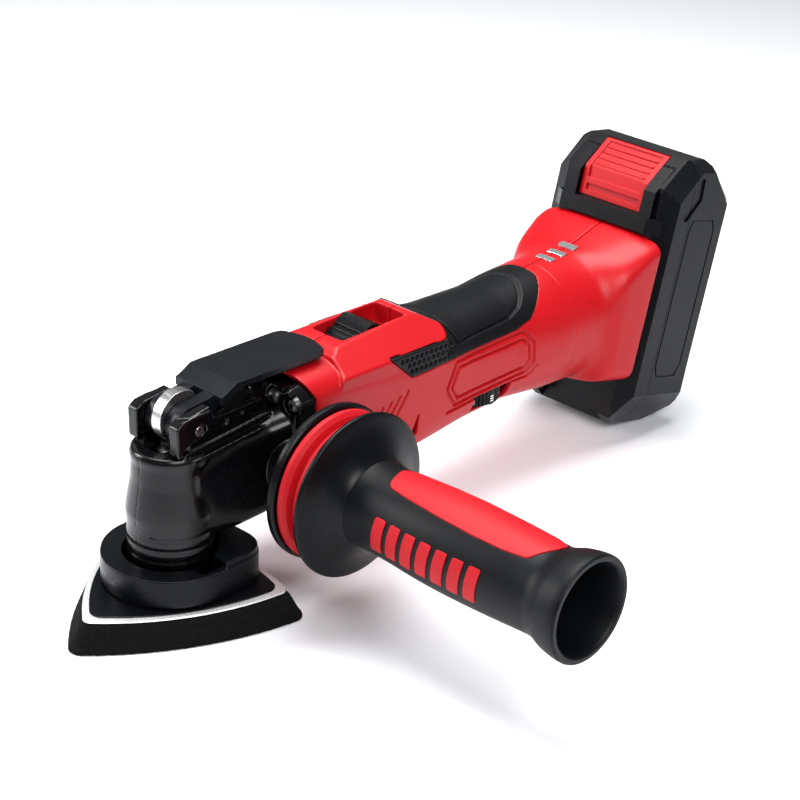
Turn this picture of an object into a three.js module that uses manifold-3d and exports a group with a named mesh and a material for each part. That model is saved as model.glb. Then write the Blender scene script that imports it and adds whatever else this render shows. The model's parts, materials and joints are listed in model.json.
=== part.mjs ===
// Cordless oscillating multi-tool with a delta sanding pad, a screw-in side handle and a slide-on
// battery. Millimetres, +Z up. The origin is the centre of the sanding pad's lower face, on the
// spindle axis. +X runs from the spindle towards the battery and -Y towards the side handle.
import * as THREE from 'three';
import { mergeVertices } from 'three/addons/utils/BufferGeometryUtils.js';
import Module from 'manifold-3d';

const wasm = await Module();
wasm.setup();

// ---- Driving dimensions ----
const GAP = 0.3; // clearance between pieces that touch
const WALL = 2.4; // moulded shell thickness

const MOTOR_Z = 61.5; // height of the motor and barrel axis
const BARREL_R = 29; // radius of the round barrel ahead of the foot

const PAD_REACH = 54; // centre to the tip of the pad's rounded corner, on its lower face
const PAD_TURN = 4.5; // the pad stands turned on the spindle, degrees
const FOAM_FLOOR = 2.9; // foam left under the clamp head
const FOAM_TOP = 10.9;
const PLATE_TOP = 12;
const BASE_TOP = 16.5;

const COLLAR_LOW = 12.9;
const COLLAR_HIGH = 25.2;
const COLLAR_R = 28;
const COLLAR_BACK = 28.5;
const COLLAR_BACK_HIGH = 27.8; // the collar's raised rear

const NECK_LOW = 20.5;
const EAR_Y = 13.5; // half the width over the two lever ears
const PIVOT = { x: 3, z: 80.7 }; // lever pivot, along Y
const CAM_R = 7.5; // cam radius with the clamp closed
const CAM_LIFT = 3.5; // how far the cam drives the clamp rod
const CAM_TURN = 110; // lever travel, degrees
const FLANGE_X = 55; // rear face of the gear head

const ECCENTRIC = 0.8; // crank offset of the motor shaft

const HANDLE_X = 46.4; // side handle axis, along Y
const HANDLE_Z = 55;
const BOSS_END = 34; // handle boss face, from the centre plane
const HANDLE_END = 174; // open end of the side handle, from the centre plane

const RAKE = 13.5; // the battery leans back, degrees
const FOOT = { x: 250.9, z: 40 }; // a point of the plane where the battery meets the foot
const PACK_HALF = 35.5; // half the battery's width
const PACK_DEPTH = 46.6;
const CELL_R = 9.15;
const CELL_PITCH = 18.8;

const radians = THREE.MathUtils.degToRad;

// ---- Solids ----
function toSolid(geometry) {
  const bare = geometry.clone();
  bare.deleteAttribute('normal');
  bare.deleteAttribute('uv');
  const merged = mergeVertices(bare, 1e-4);
  const at = merged.attributes.position;
  const corners = [];
  let volume = 0;
  const a = new THREE.Vector3();
  const b = new THREE.Vector3();
  const c = new THREE.Vector3();
  for (let i = 0; i < merged.index.count; i += 3) {
    const [p, q, r] = [0, 1, 2].map((k) => merged.index.getX(i + k));
    if (p === q || q === r || r === p) continue;
    corners.push(p, q, r);
    a.fromBufferAttribute(at, p);
    b.fromBufferAttribute(at, q);
    c.fromBufferAttribute(at, r);
    volume += a.dot(b.cross(c));
  }
  if (volume < 0) corners.reverse();
  const mesh = new wasm.Mesh({
    numProp: 3,
    vertProperties: new Float32Array(at.array),
    triVerts: new Uint32Array(corners),
  });
  return new wasm.Manifold(mesh);
}

function toGeometry(solid) {
  const mesh = solid.getMesh();
  const geometry = new THREE.BufferGeometry();
  geometry.setAttribute('position', new THREE.BufferAttribute(mesh.vertProperties, 3));
  geometry.setIndex(new THREE.BufferAttribute(mesh.triVerts, 1));
  geometry.computeVertexNormals();
  return geometry;
}

const join = (first, ...others) => others.reduce((sum, next) => sum.add(next), first);
const cut = (first, ...others) => others.reduce((rest, next) => rest.subtract(next), first);

function block(x0, x1, y0, y1, z0, z1) {
  const geometry = new THREE.BoxGeometry(x1 - x0, y1 - y0, z1 - z0);
  geometry.translate((x0 + x1) / 2, (y0 + y1) / 2, (z0 + z1) / 2);
  return toSolid(geometry);
}

// A profile of [radius, position along the axis] pairs turned round an axis parallel to X, Y or Z.
function turned(axis, centre, profile, sides = 32) {
  const points = profile.map(([r, h]) => new THREE.Vector2(r, h));
  const geometry = new THREE.LatheGeometry(points, sides);
  if (axis === 'x') geometry.rotateZ(-Math.PI / 2).translate(0, centre[0], centre[1]);
  if (axis === 'y') geometry.translate(centre[0], 0, centre[1]);
  if (axis === 'z') geometry.rotateX(Math.PI / 2).translate(centre[0], centre[1], 0);
  return toSolid(geometry);
}

const rod = (axis, centre, r, from, to, sides = 32) =>
  turned(axis, centre, [[0, from], [r, from], [r, to], [0, to]], sides);

const tube = (axis, centre, rIn, rOut, from, to, sides = 32) =>
  turned(axis, centre, [[rIn, from], [rOut, from], [rOut, to], [rIn, to], [rIn, from]], sides);

// A flat outline pushed along an axis. The outline's two coordinates are (x, z) for an axis of 'y',
// (y, z) for 'x' and (x, y) for 'z'.
function slab(axis, outline, from, to) {
  const shape = Array.isArray(outline)
    ? new THREE.Shape(outline.map(([u, v]) => new THREE.Vector2(u, v)))
    : outline;
  const options = { depth: to - from, bevelEnabled: false, curveSegments: 8 };
  const geometry = new THREE.ExtrudeGeometry(shape, options);
  if (axis === 'y') geometry.rotateX(Math.PI / 2).translate(0, to, 0);
  if (axis === 'z') geometry.translate(0, 0, from);
  if (axis === 'x') geometry.rotateX(Math.PI / 2).rotateZ(Math.PI / 2).translate(from, 0, 0);
  return toSolid(geometry);
}

// A skin through rings of points that all have the same count, closed flat at both ends.
function loft(rings) {
  const count = rings[0].length;
  const points = rings.flat();
  const faces = [];
  for (let ring = 0; ring < rings.length - 1; ring += 1) {
    for (let i = 0; i < count; i += 1) {
      const a = ring * count + i;
      const b = ring * count + ((i + 1) % count);
      faces.push(a, b, b + count, a, b + count, a + count);
    }
  }
  const ends = [rings[0], rings.at(-1)];
  ends.forEach((ring, end) => {
    const middle = ring.reduce((sum, p) => sum.add(p), new THREE.Vector3()).divideScalar(count);
    const start = end * (rings.length - 1) * count;
    for (let i = 0; i < count; i += 1) {
      const pair = [start + i, start + ((i + 1) % count)];
      if (end === 0) pair.reverse();
      faces.push(pair[0], pair[1], points.length);
    }
    points.push(middle);
  });
  const geometry = new THREE.BufferGeometry().setFromPoints(points);
  geometry.setIndex(faces);
  return toSolid(geometry);
}

// A cross-section over X: straight sides between two arches. `square` is 2 for a round arch and
// more for a boxy one, and `lean` tips the section back with height, in degrees.
function section({ x, half, low, high, dip, rise, square = 2, lean = 0 }, inset = 0, steps = 8) {
  const ring = [];
  const bow = (t) => Math.sign(t) * Math.abs(t) ** (2 / square);
  for (const [base, arch, side] of [[high, rise - inset, 1], [low, dip - inset, -1]]) {
    for (let i = 0; i <= steps; i += 1) {
      const angle = (Math.PI * i) / steps;
      const y = side * (half - inset) * bow(Math.cos(angle));
      const z = base + side * arch * Math.abs(bow(Math.sin(angle)));
      ring.push(new THREE.Vector3(x + (z - MOTOR_Z) * Math.tan(radians(lean)), y, z));
    }
  }
  return ring;
}

// An outline moved outwards by a distance, or inwards by a negative one.
function offsetOutline(outline, by) {
  const points = outline.map(([u, v]) => new THREE.Vector2(u, v));
  const turn = Math.sign(THREE.ShapeUtils.area(points)) * by;
  return points.map((point, k) => {
    const before = point.clone().sub(points.at(k - 1)).normalize();
    const after = points[(k + 1) % points.length].clone().sub(point).normalize();
    const normal = new THREE.Vector2(before.y + after.y, -before.x - after.x).normalize();
    const spread = Math.max(0.3, normal.x * after.y - normal.y * after.x);
    return [point.x + (normal.x * turn) / spread, point.y + (normal.y * turn) / spread];
  });
}

const tool = new THREE.Group();

function finish(color, roughness, metalness = 0) {
  return { color, roughness, metalness };
}

const RED = finish(0xd8222c, 0.42);
const BLACK = finish(0x1c1d20, 0.45);
const RUBBER = finish(0x26272a, 0.8);
const CAST = finish(0x17181a, 0.35, 0.5);
const STEEL = finish(0xb9bcc0, 0.3, 1);
const DARK_STEEL = finish(0x55585c, 0.4, 0.9);
const COPPER = finish(0xb8703c, 0.35, 1);
const BOARD = finish(0x1e5a34, 0.6);
const CELL = finish(0x3c6fa8, 0.5);

function addPiece(name, solid, look, holder = tool) {
  const mesh = new THREE.Mesh(toGeometry(solid), new THREE.MeshStandardMaterial(look));
  mesh.name = name;
  holder.add(mesh);
  return mesh;
}

// ---- Sanding pad: foam, thin metal plate and black base, turned slightly on the spindle ----
// A rounded triangle with bowed sides, its first corner towards -X: three corner arcs of radius
// `round` meet three wide side arcs tangentially. `reach` is centre to tip, `middle` centre to side.
function deltaOutline(reach, middle, round, steps = 5) {
  const cornerAt = reach - round;
  const slack = middle - round;
  const back = (cornerAt ** 2 - slack ** 2) / (2 * slack - cornerAt);
  const half = Math.atan2(cornerAt * Math.sin(Math.PI / 3), back + cornerAt / 2);
  const points = [];
  const arc = (away, direction, radius, sweep) => {
    for (let i = 0; i < steps; i += 1) {
      const angle = direction + sweep * ((2 * i) / steps - 1);
      points.push([
        away * Math.cos(direction) + radius * Math.cos(angle),
        away * Math.sin(direction) + radius * Math.sin(angle),
      ]);
    }
  };
  for (let k = 0; k < 3; k += 1) {
    const tip = Math.PI + (k * 2 * Math.PI) / 3;
    arc(cornerAt, tip, round, Math.PI / 3 - half);
    arc(-back, tip + Math.PI / 3, middle + back, half);
  }
  return points;
}

const deltaRing = (reach, middle, round, z) =>
  deltaOutline(reach, middle, round).map(([x, y]) => new THREE.Vector3(x, y, z));

const pad = new THREE.Group();
pad.rotation.z = radians(PAD_TURN);
tool.add(pad);

const CLAMP_HEAD_R = 9;
const headPocket = rod('z', [0, 0], CLAMP_HEAD_R + 2, FOAM_FLOOR, FOAM_TOP + 1, 24);
const foam = loft([
  deltaRing(PAD_REACH, 36.2, 6, 0),
  deltaRing(PAD_REACH - 0.5, 35.8, 6, 1.2),
  deltaRing(47.2, 32, 4, FOAM_TOP),
]);
addPiece('pad_foam', cut(foam, headPocket), finish(0x202022, 0.95), pad);

const plate = slab('z', deltaOutline(46.8, 31.6, 3.6), FOAM_TOP + 0.3, PLATE_TOP);
const plateHole = rod('z', [0, 0], 5.6, 0, 40, 24);
addPiece('pad_plate', cut(plate, plateHole), finish(0xe4e6e8, 0.25, 0.9), pad);

const base = loft([
  deltaRing(38, 27.5, 9, PLATE_TOP + GAP),
  deltaRing(35, 25.5, 9, COLLAR_LOW - GAP),
]);
const hub = rod('z', [0, 0], 15, PLATE_TOP + GAP, BASE_TOP);
addPiece('pad_base', cut(join(base, hub), plateHole), BLACK, pad);

// ---- Dust collar: a ring with a straight back, clipped on the neck above the pad ----
function collarOutline(inset) {
  const r = COLLAR_R - inset;
  const back = COLLAR_BACK - inset;
  const turn = 14 - inset;
  const shape = new THREE.Shape();
  shape.moveTo(back - turn, r);
  shape.lineTo(0, r);
  shape.absarc(0, 0, r, Math.PI / 2, (3 * Math.PI) / 2, false);
  shape.lineTo(back - turn, -r);
  shape.quadraticCurveTo(back, -r, back, turn - r);
  shape.lineTo(back, r - turn);
  shape.quadraticCurveTo(back, r, back - turn, r);
  return shape;
}

const collarBody = join(
  slab('z', collarOutline(0), COLLAR_LOW, COLLAR_HIGH - 0.8),
  slab('z', collarOutline(0.8), COLLAR_HIGH - 1, COLLAR_HIGH),
  slab('z', collarOutline(0.8), COLLAR_HIGH - 1, COLLAR_BACK_HIGH).intersect(block(12, 40, -40, 40, 0, 60)),
);
const collarHollow = slab('z', collarOutline(4.5), COLLAR_LOW - 1, COLLAR_HIGH - 3.2);
const collarMouth = rod('z', [0, 0], 19.4, 0, 40, 32);
const collarPocket = block(-4, 9, -40, -24.2, COLLAR_HIGH - 4.5, COLLAR_HIGH + 1);
addPiece('dust_collar', cut(collarBody, collarHollow, collarMouth, collarPocket), BLACK);

// ---- Gear head: one black casting of neck, arm, lever ears and flange ----
const FLANGE = { half: 24.6, low: 50, high: 74, dip: 13.2, rise: 16.2, square: 3 };
const EAR_SLOT = 9.2; // half the gap between the ears
const CHAMBER = { low: 53.6, high: 69.6, half: 12.7 };

function neck() {
  return turned('z', [0, 0], [
    [0, NECK_LOW], [15.2, NECK_LOW], [16.6, 22], [17.3, 25], [17.4, 40], [18, 44.5],
    [17.4, 49], [15.9, 58], [15.6, 66], [16.3, 69.2], [15.2, 71.5], [0, 71.5],
  ], 32);
}

function arm() {
  return loft([
    section({ x: 0, half: 13, low: 40, high: 66, dip: 6, rise: 5, square: 3 }),
    section({ x: 8, half: 15, low: 39, high: 70, dip: 9, rise: 10, square: 3 }),
    section({ x: 22, half: 16, low: 38.5, high: 74, dip: 8.5, rise: 9, square: 4 }),
    section({ x: 36, half: 17.5, low: 42, high: 75, dip: 9, rise: 7, square: 4 }),
    section({ ...FLANGE, x: 46 }),
    section({ ...FLANGE, x: FLANGE_X }),
  ]);
}

function keel() {
  return slab('y', [[10, 28.4], [22, 28.6], [47, 37], [47, 50], [10, 50]], -5, 5);
}

function earBlock() {
  const side = slab('y', [
    [-10, 66], [-10, 86], [-6, 87.5], [8, 89.3], [10, 84], [14, 83.6], [36, 84.5], [38, 77],
    [47, 77], [47, 66],
  ], -EAR_Y, EAR_Y);
  const plan = slab('z', [
    [-9, -6], [-7, -8], [-2, -EAR_Y], [50, -EAR_Y], [50, EAR_Y], [-2, EAR_Y], [-7, 8], [-9, 6],
  ], 60, 100);
  return side.intersect(plan);
}

// The flange follows the slanted seam where the red housing laps over it.
const SEAM = [[55.3, 0], [55.3, 81], [49, 95], [49, 130]];
const behindSeam = (shift) => slab('y', [
  ...SEAM.map(([x, z]) => [x + shift, z]), [300, 130], [300, 0],
], -60, 60);

function gearHead() {
  const boss = rod('y', [HANDLE_X, HANDLE_Z], 13, -BOSS_END, BOSS_END, 28);
  const solid = cut(join(neck(), arm(), keel(), earBlock(), boss), behindSeam(-GAP));
  const slot = slab('y', [
    [-30, 71.6], [8, 71.6], [19, 78], [19, 100], [-30, 100],
  ], -EAR_SLOT, EAR_SLOT);
  const channel = block(12, 60, -10, 10, 85.5, 100);
  const bearingSeats = join(
    rod('z', [0, 0], 13.3, 0, 32.3, 24),
    rod('z', [0, 0], 9, 30, 45, 20),
    rod('z', [0, 0], 11.3, 44.7, 60, 24),
    rod('z', [0, 0], 6, 60, 75, 20),
  );
  const camPocket = block(-9, 10.5, -4.6, 4.6, 68, 73);
  const chamber = join(
    rod('z', [0, 0], CHAMBER.half, CHAMBER.low, CHAMBER.high, 24),
    block(0, 34, -CHAMBER.half, CHAMBER.half, CHAMBER.low, CHAMBER.high),
    rod('x', [0, MOTOR_Z], 8, 30, 46, 20),
    rod('x', [0, MOTOR_Z], 11.3, 44.7, 60, 24),
  );
  const pinHole = rod('y', [PIVOT.x, PIVOT.z], 2.8, -30, 30, 16);
  const handleHoles = join(
    rod('y', [HANDLE_X, HANDLE_Z], 4.3, -40, -18, 20),
    rod('y', [HANDLE_X, HANDLE_Z], 4.3, 18, 40, 20),
  );
  return cut(solid, slot, camPocket, channel, bearingSeats, chamber, pinHole, handleHoles);
}

// Domed screws run back through the flange into the housing, two on each side of the lever.
const FLANGE_SCREWS = [[9.7, 80.5], [21.2, 80.7]]; // y and z of the screws of one side
const SCREW_SEAT_X = 46.7;

function screwBores(grow) {
  return FLANGE_SCREWS.flatMap(([y, z]) => [-y, y].map((at) => rod('x', [at, z], 1.5 + grow, 40, 60, 12)));
}

function addFlangeScrews(head) {
  let drilled = cut(head, ...screwBores(GAP));
  FLANGE_SCREWS.forEach(([y, z], row) => {
    ['right', 'left'].forEach((side, k) => {
      const at = k ? y : -y;
      const profile = [
        [0, -2.9], [1.8, -2.6], [3, -1.5], [3.4, 0], [1.5, 0], [1.5, 11], [0, 11],
      ].map(([r, x]) => [r, SCREW_SEAT_X + x]);
      drilled = drilled.subtract(rod('x', [at, z], 3.9, 34, SCREW_SEAT_X + GAP, 16));
      addPiece(`flange_screw_${side}_${row + 1}`, turned('x', [at, z], profile, 12), DARK_STEEL);
    });
  });
  return drilled;
}

addPiece('gear_head', addFlangeScrews(gearHead()), CAST);

// ---- Quick-release lever with its cam, pin, clamp rod and spring ----
const LEVER_TOP = 95;
const EYE_R = 8.5; // the lever's two eyes round its pin

function leverSolid() {
  const plate = new THREE.Shape();
  plate.moveTo(12, -EAR_Y);
  plate.lineTo(66.5, -EAR_Y);
  plate.quadraticCurveTo(71, -EAR_Y, 72, -9.5);
  plate.quadraticCurveTo(75.2, 0, 72, 9.5);
  plate.quadraticCurveTo(71, EAR_Y, 66.5, EAR_Y);
  plate.lineTo(12, EAR_Y);
  const plateSide = [
    [12, 87.6], [17, 87.6], [23, 92.3], [80, 92.3], [80, LEVER_TOP], [22, LEVER_TOP], [16, 91.6],
    [12, 90.6],
  ];
  const cover = slab('z', plate, 80, 100).intersect(slab('y', plateSide, -20, 20));
  const armSide = [[3, 72.4], [12, 77.5], [18, 87], [18, 92.4], [12, 90.5], [3, 89]];
  const arms = [-1, 1].map((side) => {
    const near = side * 4.4;
    const far = side * (EAR_SLOT - 0.4);
    const low = Math.min(near, far);
    const high = Math.max(near, far);
    const eye = rod('y', [PIVOT.x, PIVOT.z], EYE_R, low, high, 28);
    return join(eye, slab('y', armSide, low, high));
  });
  const body = join(cover, ...arms);
  return cut(body, rod('y', [PIVOT.x, PIVOT.z], 2.8, -20, 20, 16));
}

// The cam's radius grows evenly with angle, so the clamp rod moves in step with the lever.
function camSolid() {
  const outline = new THREE.Shape();
  const steps = 48;
  for (let i = 0; i < steps; i += 1) {
    const angle = (360 * i) / steps;
    const rising = THREE.MathUtils.clamp((270 - angle) / CAM_TURN, 0, 1.5);
    const falling = THREE.MathUtils.clamp(angle / 60, 0, 1);
    const r = CAM_R + CAM_LIFT * (angle <= 270 ? rising * falling : 0);
    const x = PIVOT.x + r * Math.cos(radians(angle));
    const z = PIVOT.z + r * Math.sin(radians(angle));
    if (i === 0) outline.moveTo(x, z);
    else outline.lineTo(x, z);
  }
  return cut(slab('y', outline, -4, 4), rod('y', [PIVOT.x, PIVOT.z], 2.8, -20, 20, 16));
}

const ROD_TOP = PIVOT.z - CAM_R - 0.5;

function clampRod() {
  return turned('z', [0, 0], [
    [0, 6.4], [CLAMP_HEAD_R, 6.4], [CLAMP_HEAD_R, 9.6], [5, 10.7], [5, 12.5], [3, 13.4],
    [3, ROD_TOP - 5], [5.2, ROD_TOP - 5], [5.2, ROD_TOP - 3.4], [3.8, ROD_TOP - 2.8], [3.8, ROD_TOP],
    [0, ROD_TOP],
  ], 24);
}

class Helix extends THREE.Curve {
  constructor(radius, low, high, turns) {
    super();
    Object.assign(this, { radius, low, high, turns });
  }

  getPoint(t, target = new THREE.Vector3()) {
    const angle = 2 * Math.PI * this.turns * t;
    const z = THREE.MathUtils.lerp(this.low, this.high, t);
    return target.set(this.radius * Math.cos(angle), this.radius * Math.sin(angle), z);
  }
}

function coil(radius, wire, low, high, turns) {
  const ring = new THREE.Shape();
  ring.absarc(0, 0, wire, 0, 2 * Math.PI, false);
  return toSolid(new THREE.ExtrudeGeometry(ring, {
    steps: turns * 8,
    curveSegments: 2,
    extrudePath: new Helix(radius, low + wire, high - wire, turns),
  }));
}

addPiece('lever', leverSolid(), BLACK);
addPiece('lever_cam', camSolid(), STEEL);
addPiece('lever_pin', rod('y', [PIVOT.x, PIVOT.z], 2.5, -EAR_Y - 0.4, EAR_Y + 0.4, 16), STEEL);
addPiece('clamp_rod', clampRod(), STEEL);
addPiece('clamp_spring', coil(4.4, 0.65, 50.5, ROD_TOP - 5.2, 6), STEEL);

// ---- Spindle group ----
const SPINDLE_TOP = 67.4;

function spindleSolid() {
  return turned('z', [0, 0], [
    [3.4, BASE_TOP + GAP], [12, BASE_TOP + GAP], [12, 20.4], [7, 21], [7, SPINDLE_TOP],
    [5.6, SPINDLE_TOP], [5.6, 50.2], [3.4, 50], [3.4, BASE_TOP + GAP],
  ], 24);
}

const bearing = (axis, centre, rIn, rOut, from, to) => tube(axis, centre, rIn, rOut, from, to, 18);

function forkSolid() {
  const armIn = 8.4;
  const armOut = 11.2;
  const ring = rod('z', [0, 0], armOut, 57.3, 65.7, 24);
  const arms = block(0, 31, -armOut, armOut, 57.3, 65.7);
  const gap = block(13.5, 40, -armIn, armIn, 50, 70);
  return cut(join(ring, arms), gap, rod('z', [0, 0], 7.3, 50, 70, 20));
}

addPiece('spindle', spindleSolid(), STEEL);
addPiece('spindle_bearing_lower', bearing('z', [0, 0], 7.3, 13, 24, 32), STEEL);
addPiece('spindle_bearing_upper', bearing('z', [0, 0], 7.3, 11, 45, 52), STEEL);
addPiece('drive_fork', forkSolid(), DARK_STEEL);

// ---- Motor: shaft with an eccentric pin, rotor, fan, can, end cap and brushes ----
function motorShaft() {
  const pin = rod('x', [0, MOTOR_Z + ECCENTRIC], 2.6, 23.6, 32.5, 20);
  const web = rod('x', [0, MOTOR_Z], 5.5, 31.5, 37, 24);
  const main = turned('x', [0, MOTOR_Z], [
    [0, 36], [4, 36], [4, 53], [5.4, 53], [5.4, 55], [4, 55], [4, 143.5], [2.6, 144], [2.6, 150.5], [0, 150.5],
  ], 20);
  return join(pin, web, main);
}

function rotorStack() {
  const slots = [];
  for (let k = 0; k < 8; k += 1) {
    const angle = (k * Math.PI) / 4;
    const y = 15.5 * Math.cos(angle);
    const z = MOTOR_Z + 15.5 * Math.sin(angle);
    slots.push(rod('x', [y, z], 2.6, 70, 130, 8));
  }
  return cut(tube('x', [0, MOTOR_Z], 4.3, 16.2, 84, 122, 24), ...slots);
}

function coolingFan() {
  const hubDisc = join(
    tube('x', [0, MOTOR_Z], 4.3, 8, 62, 72, 18),
    tube('x', [0, MOTOR_Z], 4.3, 20.5, 70, 72, 27),
  );
  const blades = [];
  for (let k = 0; k < 9; k += 1) {
    const blade = new THREE.BoxGeometry(8.4, 13, 1.4);
    blade.translate(66.1, 13.7, 0).rotateX((k * 2 * Math.PI) / 9).translate(0, 0, MOTOR_Z);
    blades.push(toSolid(blade));
  }
  return join(hubDisc, ...blades);
}

function motorCan() {
  const can = turned('x', [0, MOTOR_Z], [
    [6, 77], [19.5, 77], [19.5, 132], [17, 132], [17, 79], [6, 79], [6, 77],
  ], 28);
  const vents = [0, 1, 2].map((k) => {
    const angle = (k * 2 * Math.PI) / 3;
    return rod('x', [12.5 * Math.cos(angle), MOTOR_Z + 12.5 * Math.sin(angle)], 3, 70, 90, 12);
  });
  return cut(can, ...vents);
}

function motorEndCap() {
  const cap = turned('x', [0, MOTOR_Z], [
    [17, 132.3], [19.5, 132.3], [19.5, 146], [11, 152.6], [4.5, 152.6], [4.5, 150.6], [8.4, 150.6],
    [8.4, 143.2], [17, 143.2], [17, 132.3],
  ], 28);
  return cap;
}

addPiece('motor_shaft', motorShaft(), STEEL);
addPiece('eccentric_bearing', bearing('x', [0, MOTOR_Z + ECCENTRIC], 2.9, 6.5, 24.5, 29.5), STEEL);
addPiece('shaft_bearing_front', bearing('x', [0, MOTOR_Z], 4.3, 11, 45, 52), STEEL);
addPiece('shaft_bearing_rear', bearing('x', [0, MOTOR_Z], 2.9, 8, 144.2, 149.6), STEEL);
addPiece('cooling_fan', coolingFan(), BLACK);
addPiece('rotor_stack', rotorStack(), COPPER);
addPiece('commutator', tube('x', [0, MOTOR_Z], 4.3, 7.6, 125, 141, 24), COPPER);
addPiece('motor_can', motorCan(), DARK_STEEL);
addPiece('motor_end_cap', motorEndCap(), BLACK);
['right', 'left'].forEach((side, k) => {
  const near = k ? 8.4 : -16.4;
  addPiece(`brush_${side}`, block(134, 140, near, near + 8, MOTOR_Z - 3, MOTOR_Z + 3), DARK_STEEL);
});

// ---- Housing: two red shells parted on the centre plane ----
const FOOT_LEAN_X = FOOT.x + (MOTOR_Z - FOOT.z) * Math.tan(radians(RAKE));
const BODY = [
  { x: 46, half: 25.4, low: 50, high: 74, dip: 14, rise: 16.6, square: 3 },
  { x: 70, half: 25.4, low: 50, high: 74, dip: 14.2, rise: 16.4, square: 3 },
  { x: 120, half: 25.2, low: 50, high: 72, dip: 14.8, rise: 17, square: 2.8 },
  { x: 150, half: 24.5, low: 56, high: 66, dip: 20.5, rise: 21.2, square: 2.4 },
  { x: 180, half: 25.2, low: 60, high: 63, dip: 24.8, rise: 24.8, square: 2.1 },
  { x: 208, half: 28.6, low: 61, high: 62, dip: BARREL_R, rise: 28.6 },
  { x: 228, half: 29.2, low: 60, high: 63, dip: 28.4, rise: 28.6, lean: 1 },
  { x: 240, half: 30.4, low: 54, high: 70, dip: 21.5, rise: 22, lean: 5, square: 2.1 },
  { x: 246, half: 32.4, low: 47, high: 82, dip: 14.5, rise: 13.5, lean: 9, square: 2.2 },
  { x: 251, half: 34.4, low: 42, high: 89, dip: 11, rise: 9.4, lean: 12, square: 2.3 },
  { x: FOOT_LEAN_X, half: 35, low: 41, high: 90.5, dip: 10.6, rise: 8.5, lean: RAKE, square: 2.4 },
];

// The faceted hump round the switch is what three outlines share: seen from the end, side and top.
const HUMP_HALF = 24.8;
const HUMP_END = [
  [-HUMP_HALF, 70], [-HUMP_HALF, 85.4], [-4, 98], [4, 98], [HUMP_HALF, 85.4], [HUMP_HALF, 70],
];
const HUMP_SIDE = [
  [66, 70], [69, 84], [71.5, 87.5], [72.3, 91], [78.5, 93.3], [124.5, 95], [138, 88], [147, 80], [147, 70],
];
const HUMP_TOP = [[60, -26], [131, -26], [138, -13], [138, 13], [131, 26], [60, 26]];

function humpSolid(inset) {
  const [end, side, top] = [HUMP_END, HUMP_SIDE, HUMP_TOP].map((o) => offsetOutline(o, -inset));
  return slab('x', end, 40, 160).intersect(slab('y', side, -40, 40)).intersect(slab('z', top, 60, 110));
}

function bodySolid(inset, beyond = 0) {
  const rings = BODY.map((ring, k) => {
    const last = k === BODY.length - 1;
    return section({ ...ring, x: ring.x + (last ? beyond : 0) - (k === 0 ? beyond : 0) }, inset);
  });
  return join(loft(rings), humpSolid(inset));
}

// The rubber overmould: a dotted wedge on each side, widening back into the grip pad over the top.
const GRIP_SIDE = [
  [97, 86], [110, 74.8], [179, 75.4], [189, 77.8], [195.5, 82], [201.5, 86], [207, 89.5], [209, 110],
  [126, 110], [127.5, 95.5], [131.5, 93.5], [134.5, 90], [134, 86.5], [130, 85.4],
];
const RUBBER_DEPTH = 1.6;

const gripRegion = (grow) => slab('y', offsetOutline(GRIP_SIDE, grow), -60, 60);

const SWITCH_WELL = { x0: 84, x1: 121.5, half: 9, floor: 85.6 };
const DIAL = { x: 164.2, y: -11, z: 48, r: 12.4, thick: 7 };
const LIGHTS_X = [223, 231, 239];
const SHELL_SCREWS = [[182, 42], [216, 42], [214, 82]];

function housingSolid() {
  const outer = bodySolid(0);
  const inner = bodySolid(WALL, 8);
  const { x0, x1, half, floor } = SWITCH_WELL;
  const wellWalls = block(x0 - 2, x1 + 2, -half - 2, half + 2, floor - 2, 120).intersect(outer);
  const bosses = SHELL_SCREWS.map(([x, z]) => rod('y', [x, z], 4.4, -60, 60, 16).intersect(outer));
  const shell = join(cut(outer, inner), wellWalls, ...bosses);
  const rubberSeat = cut(bodySolid(-3), bodySolid(RUBBER_DEPTH + GAP)).intersect(gripRegion(GAP));
  const leverBay = block(40, 75.6, -EAR_Y - 1, EAR_Y + 1, 91.7, 120);
  const well = join(
    block(x0, x1, -half, half, floor, 120),
    block(x0 + 7, x1 - 10, -4.4, 4.4, floor - 4, floor + 1),
  );
  const dialSlot = join(
    rod('z', [DIAL.x, DIAL.y], DIAL.r + 0.6, DIAL.z - DIAL.thick / 2 - 0.5, DIAL.z + DIAL.thick / 2 + 0.5, 24),
    block(DIAL.x - 9, DIAL.x + 9, -40, DIAL.y - 5, DIAL.z - DIAL.thick / 2 - 0.5, DIAL.z + DIAL.thick / 2 + 0.5),
  );
  const lights = LIGHTS_X.map((x) => block(x - 2.2, x + 2.2, -5, 5, 80, 110));
  const sideVent = slab('y', [[110.5, 47], [114.5, 47], [115.5, 58]], -60, 60);
  const motorRoom = rod('x', [0, MOTOR_Z], 21.6, 50, 153.4, 28);
  const frontCut = slab('y', [[0, 0], ...SEAM, [0, 130]], -60, 60);
  const headRoom = join(
    rod('y', [HANDLE_X, HANDLE_Z], 13.4, -60, 60, 28),
    block(30, FLANGE_X + GAP, -24, 24, 0, 82),
    ...screwBores(GAP),
  );
  return cut(
    shell, rubberSeat, leverBay, well, dialSlot, ...lights, sideVent, motorRoom, frontCut, headRoom,
    ...SHELL_SCREWS.map(([x, z]) => shellScrew(x, z, GAP)),
  );
}

// A self-tapping screw from the left shell into the right one.
function shellScrew(x, z, clear = 0) {
  const head = clear ? 60 : 16;
  return turned('y', [x, z], [
    [0, -8 - clear], [1.5 + clear, -8 - clear], [1.5 + clear, 13.6 - clear], [3.2 + clear, 13.6 - clear],
    [3.2 + clear, head], [0, head],
  ], 12);
}

function gripSolid() {
  const skin = cut(bodySolid(-0.35), bodySolid(RUBBER_DEPTH));
  return skin.intersect(gripRegion(0));
}

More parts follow.
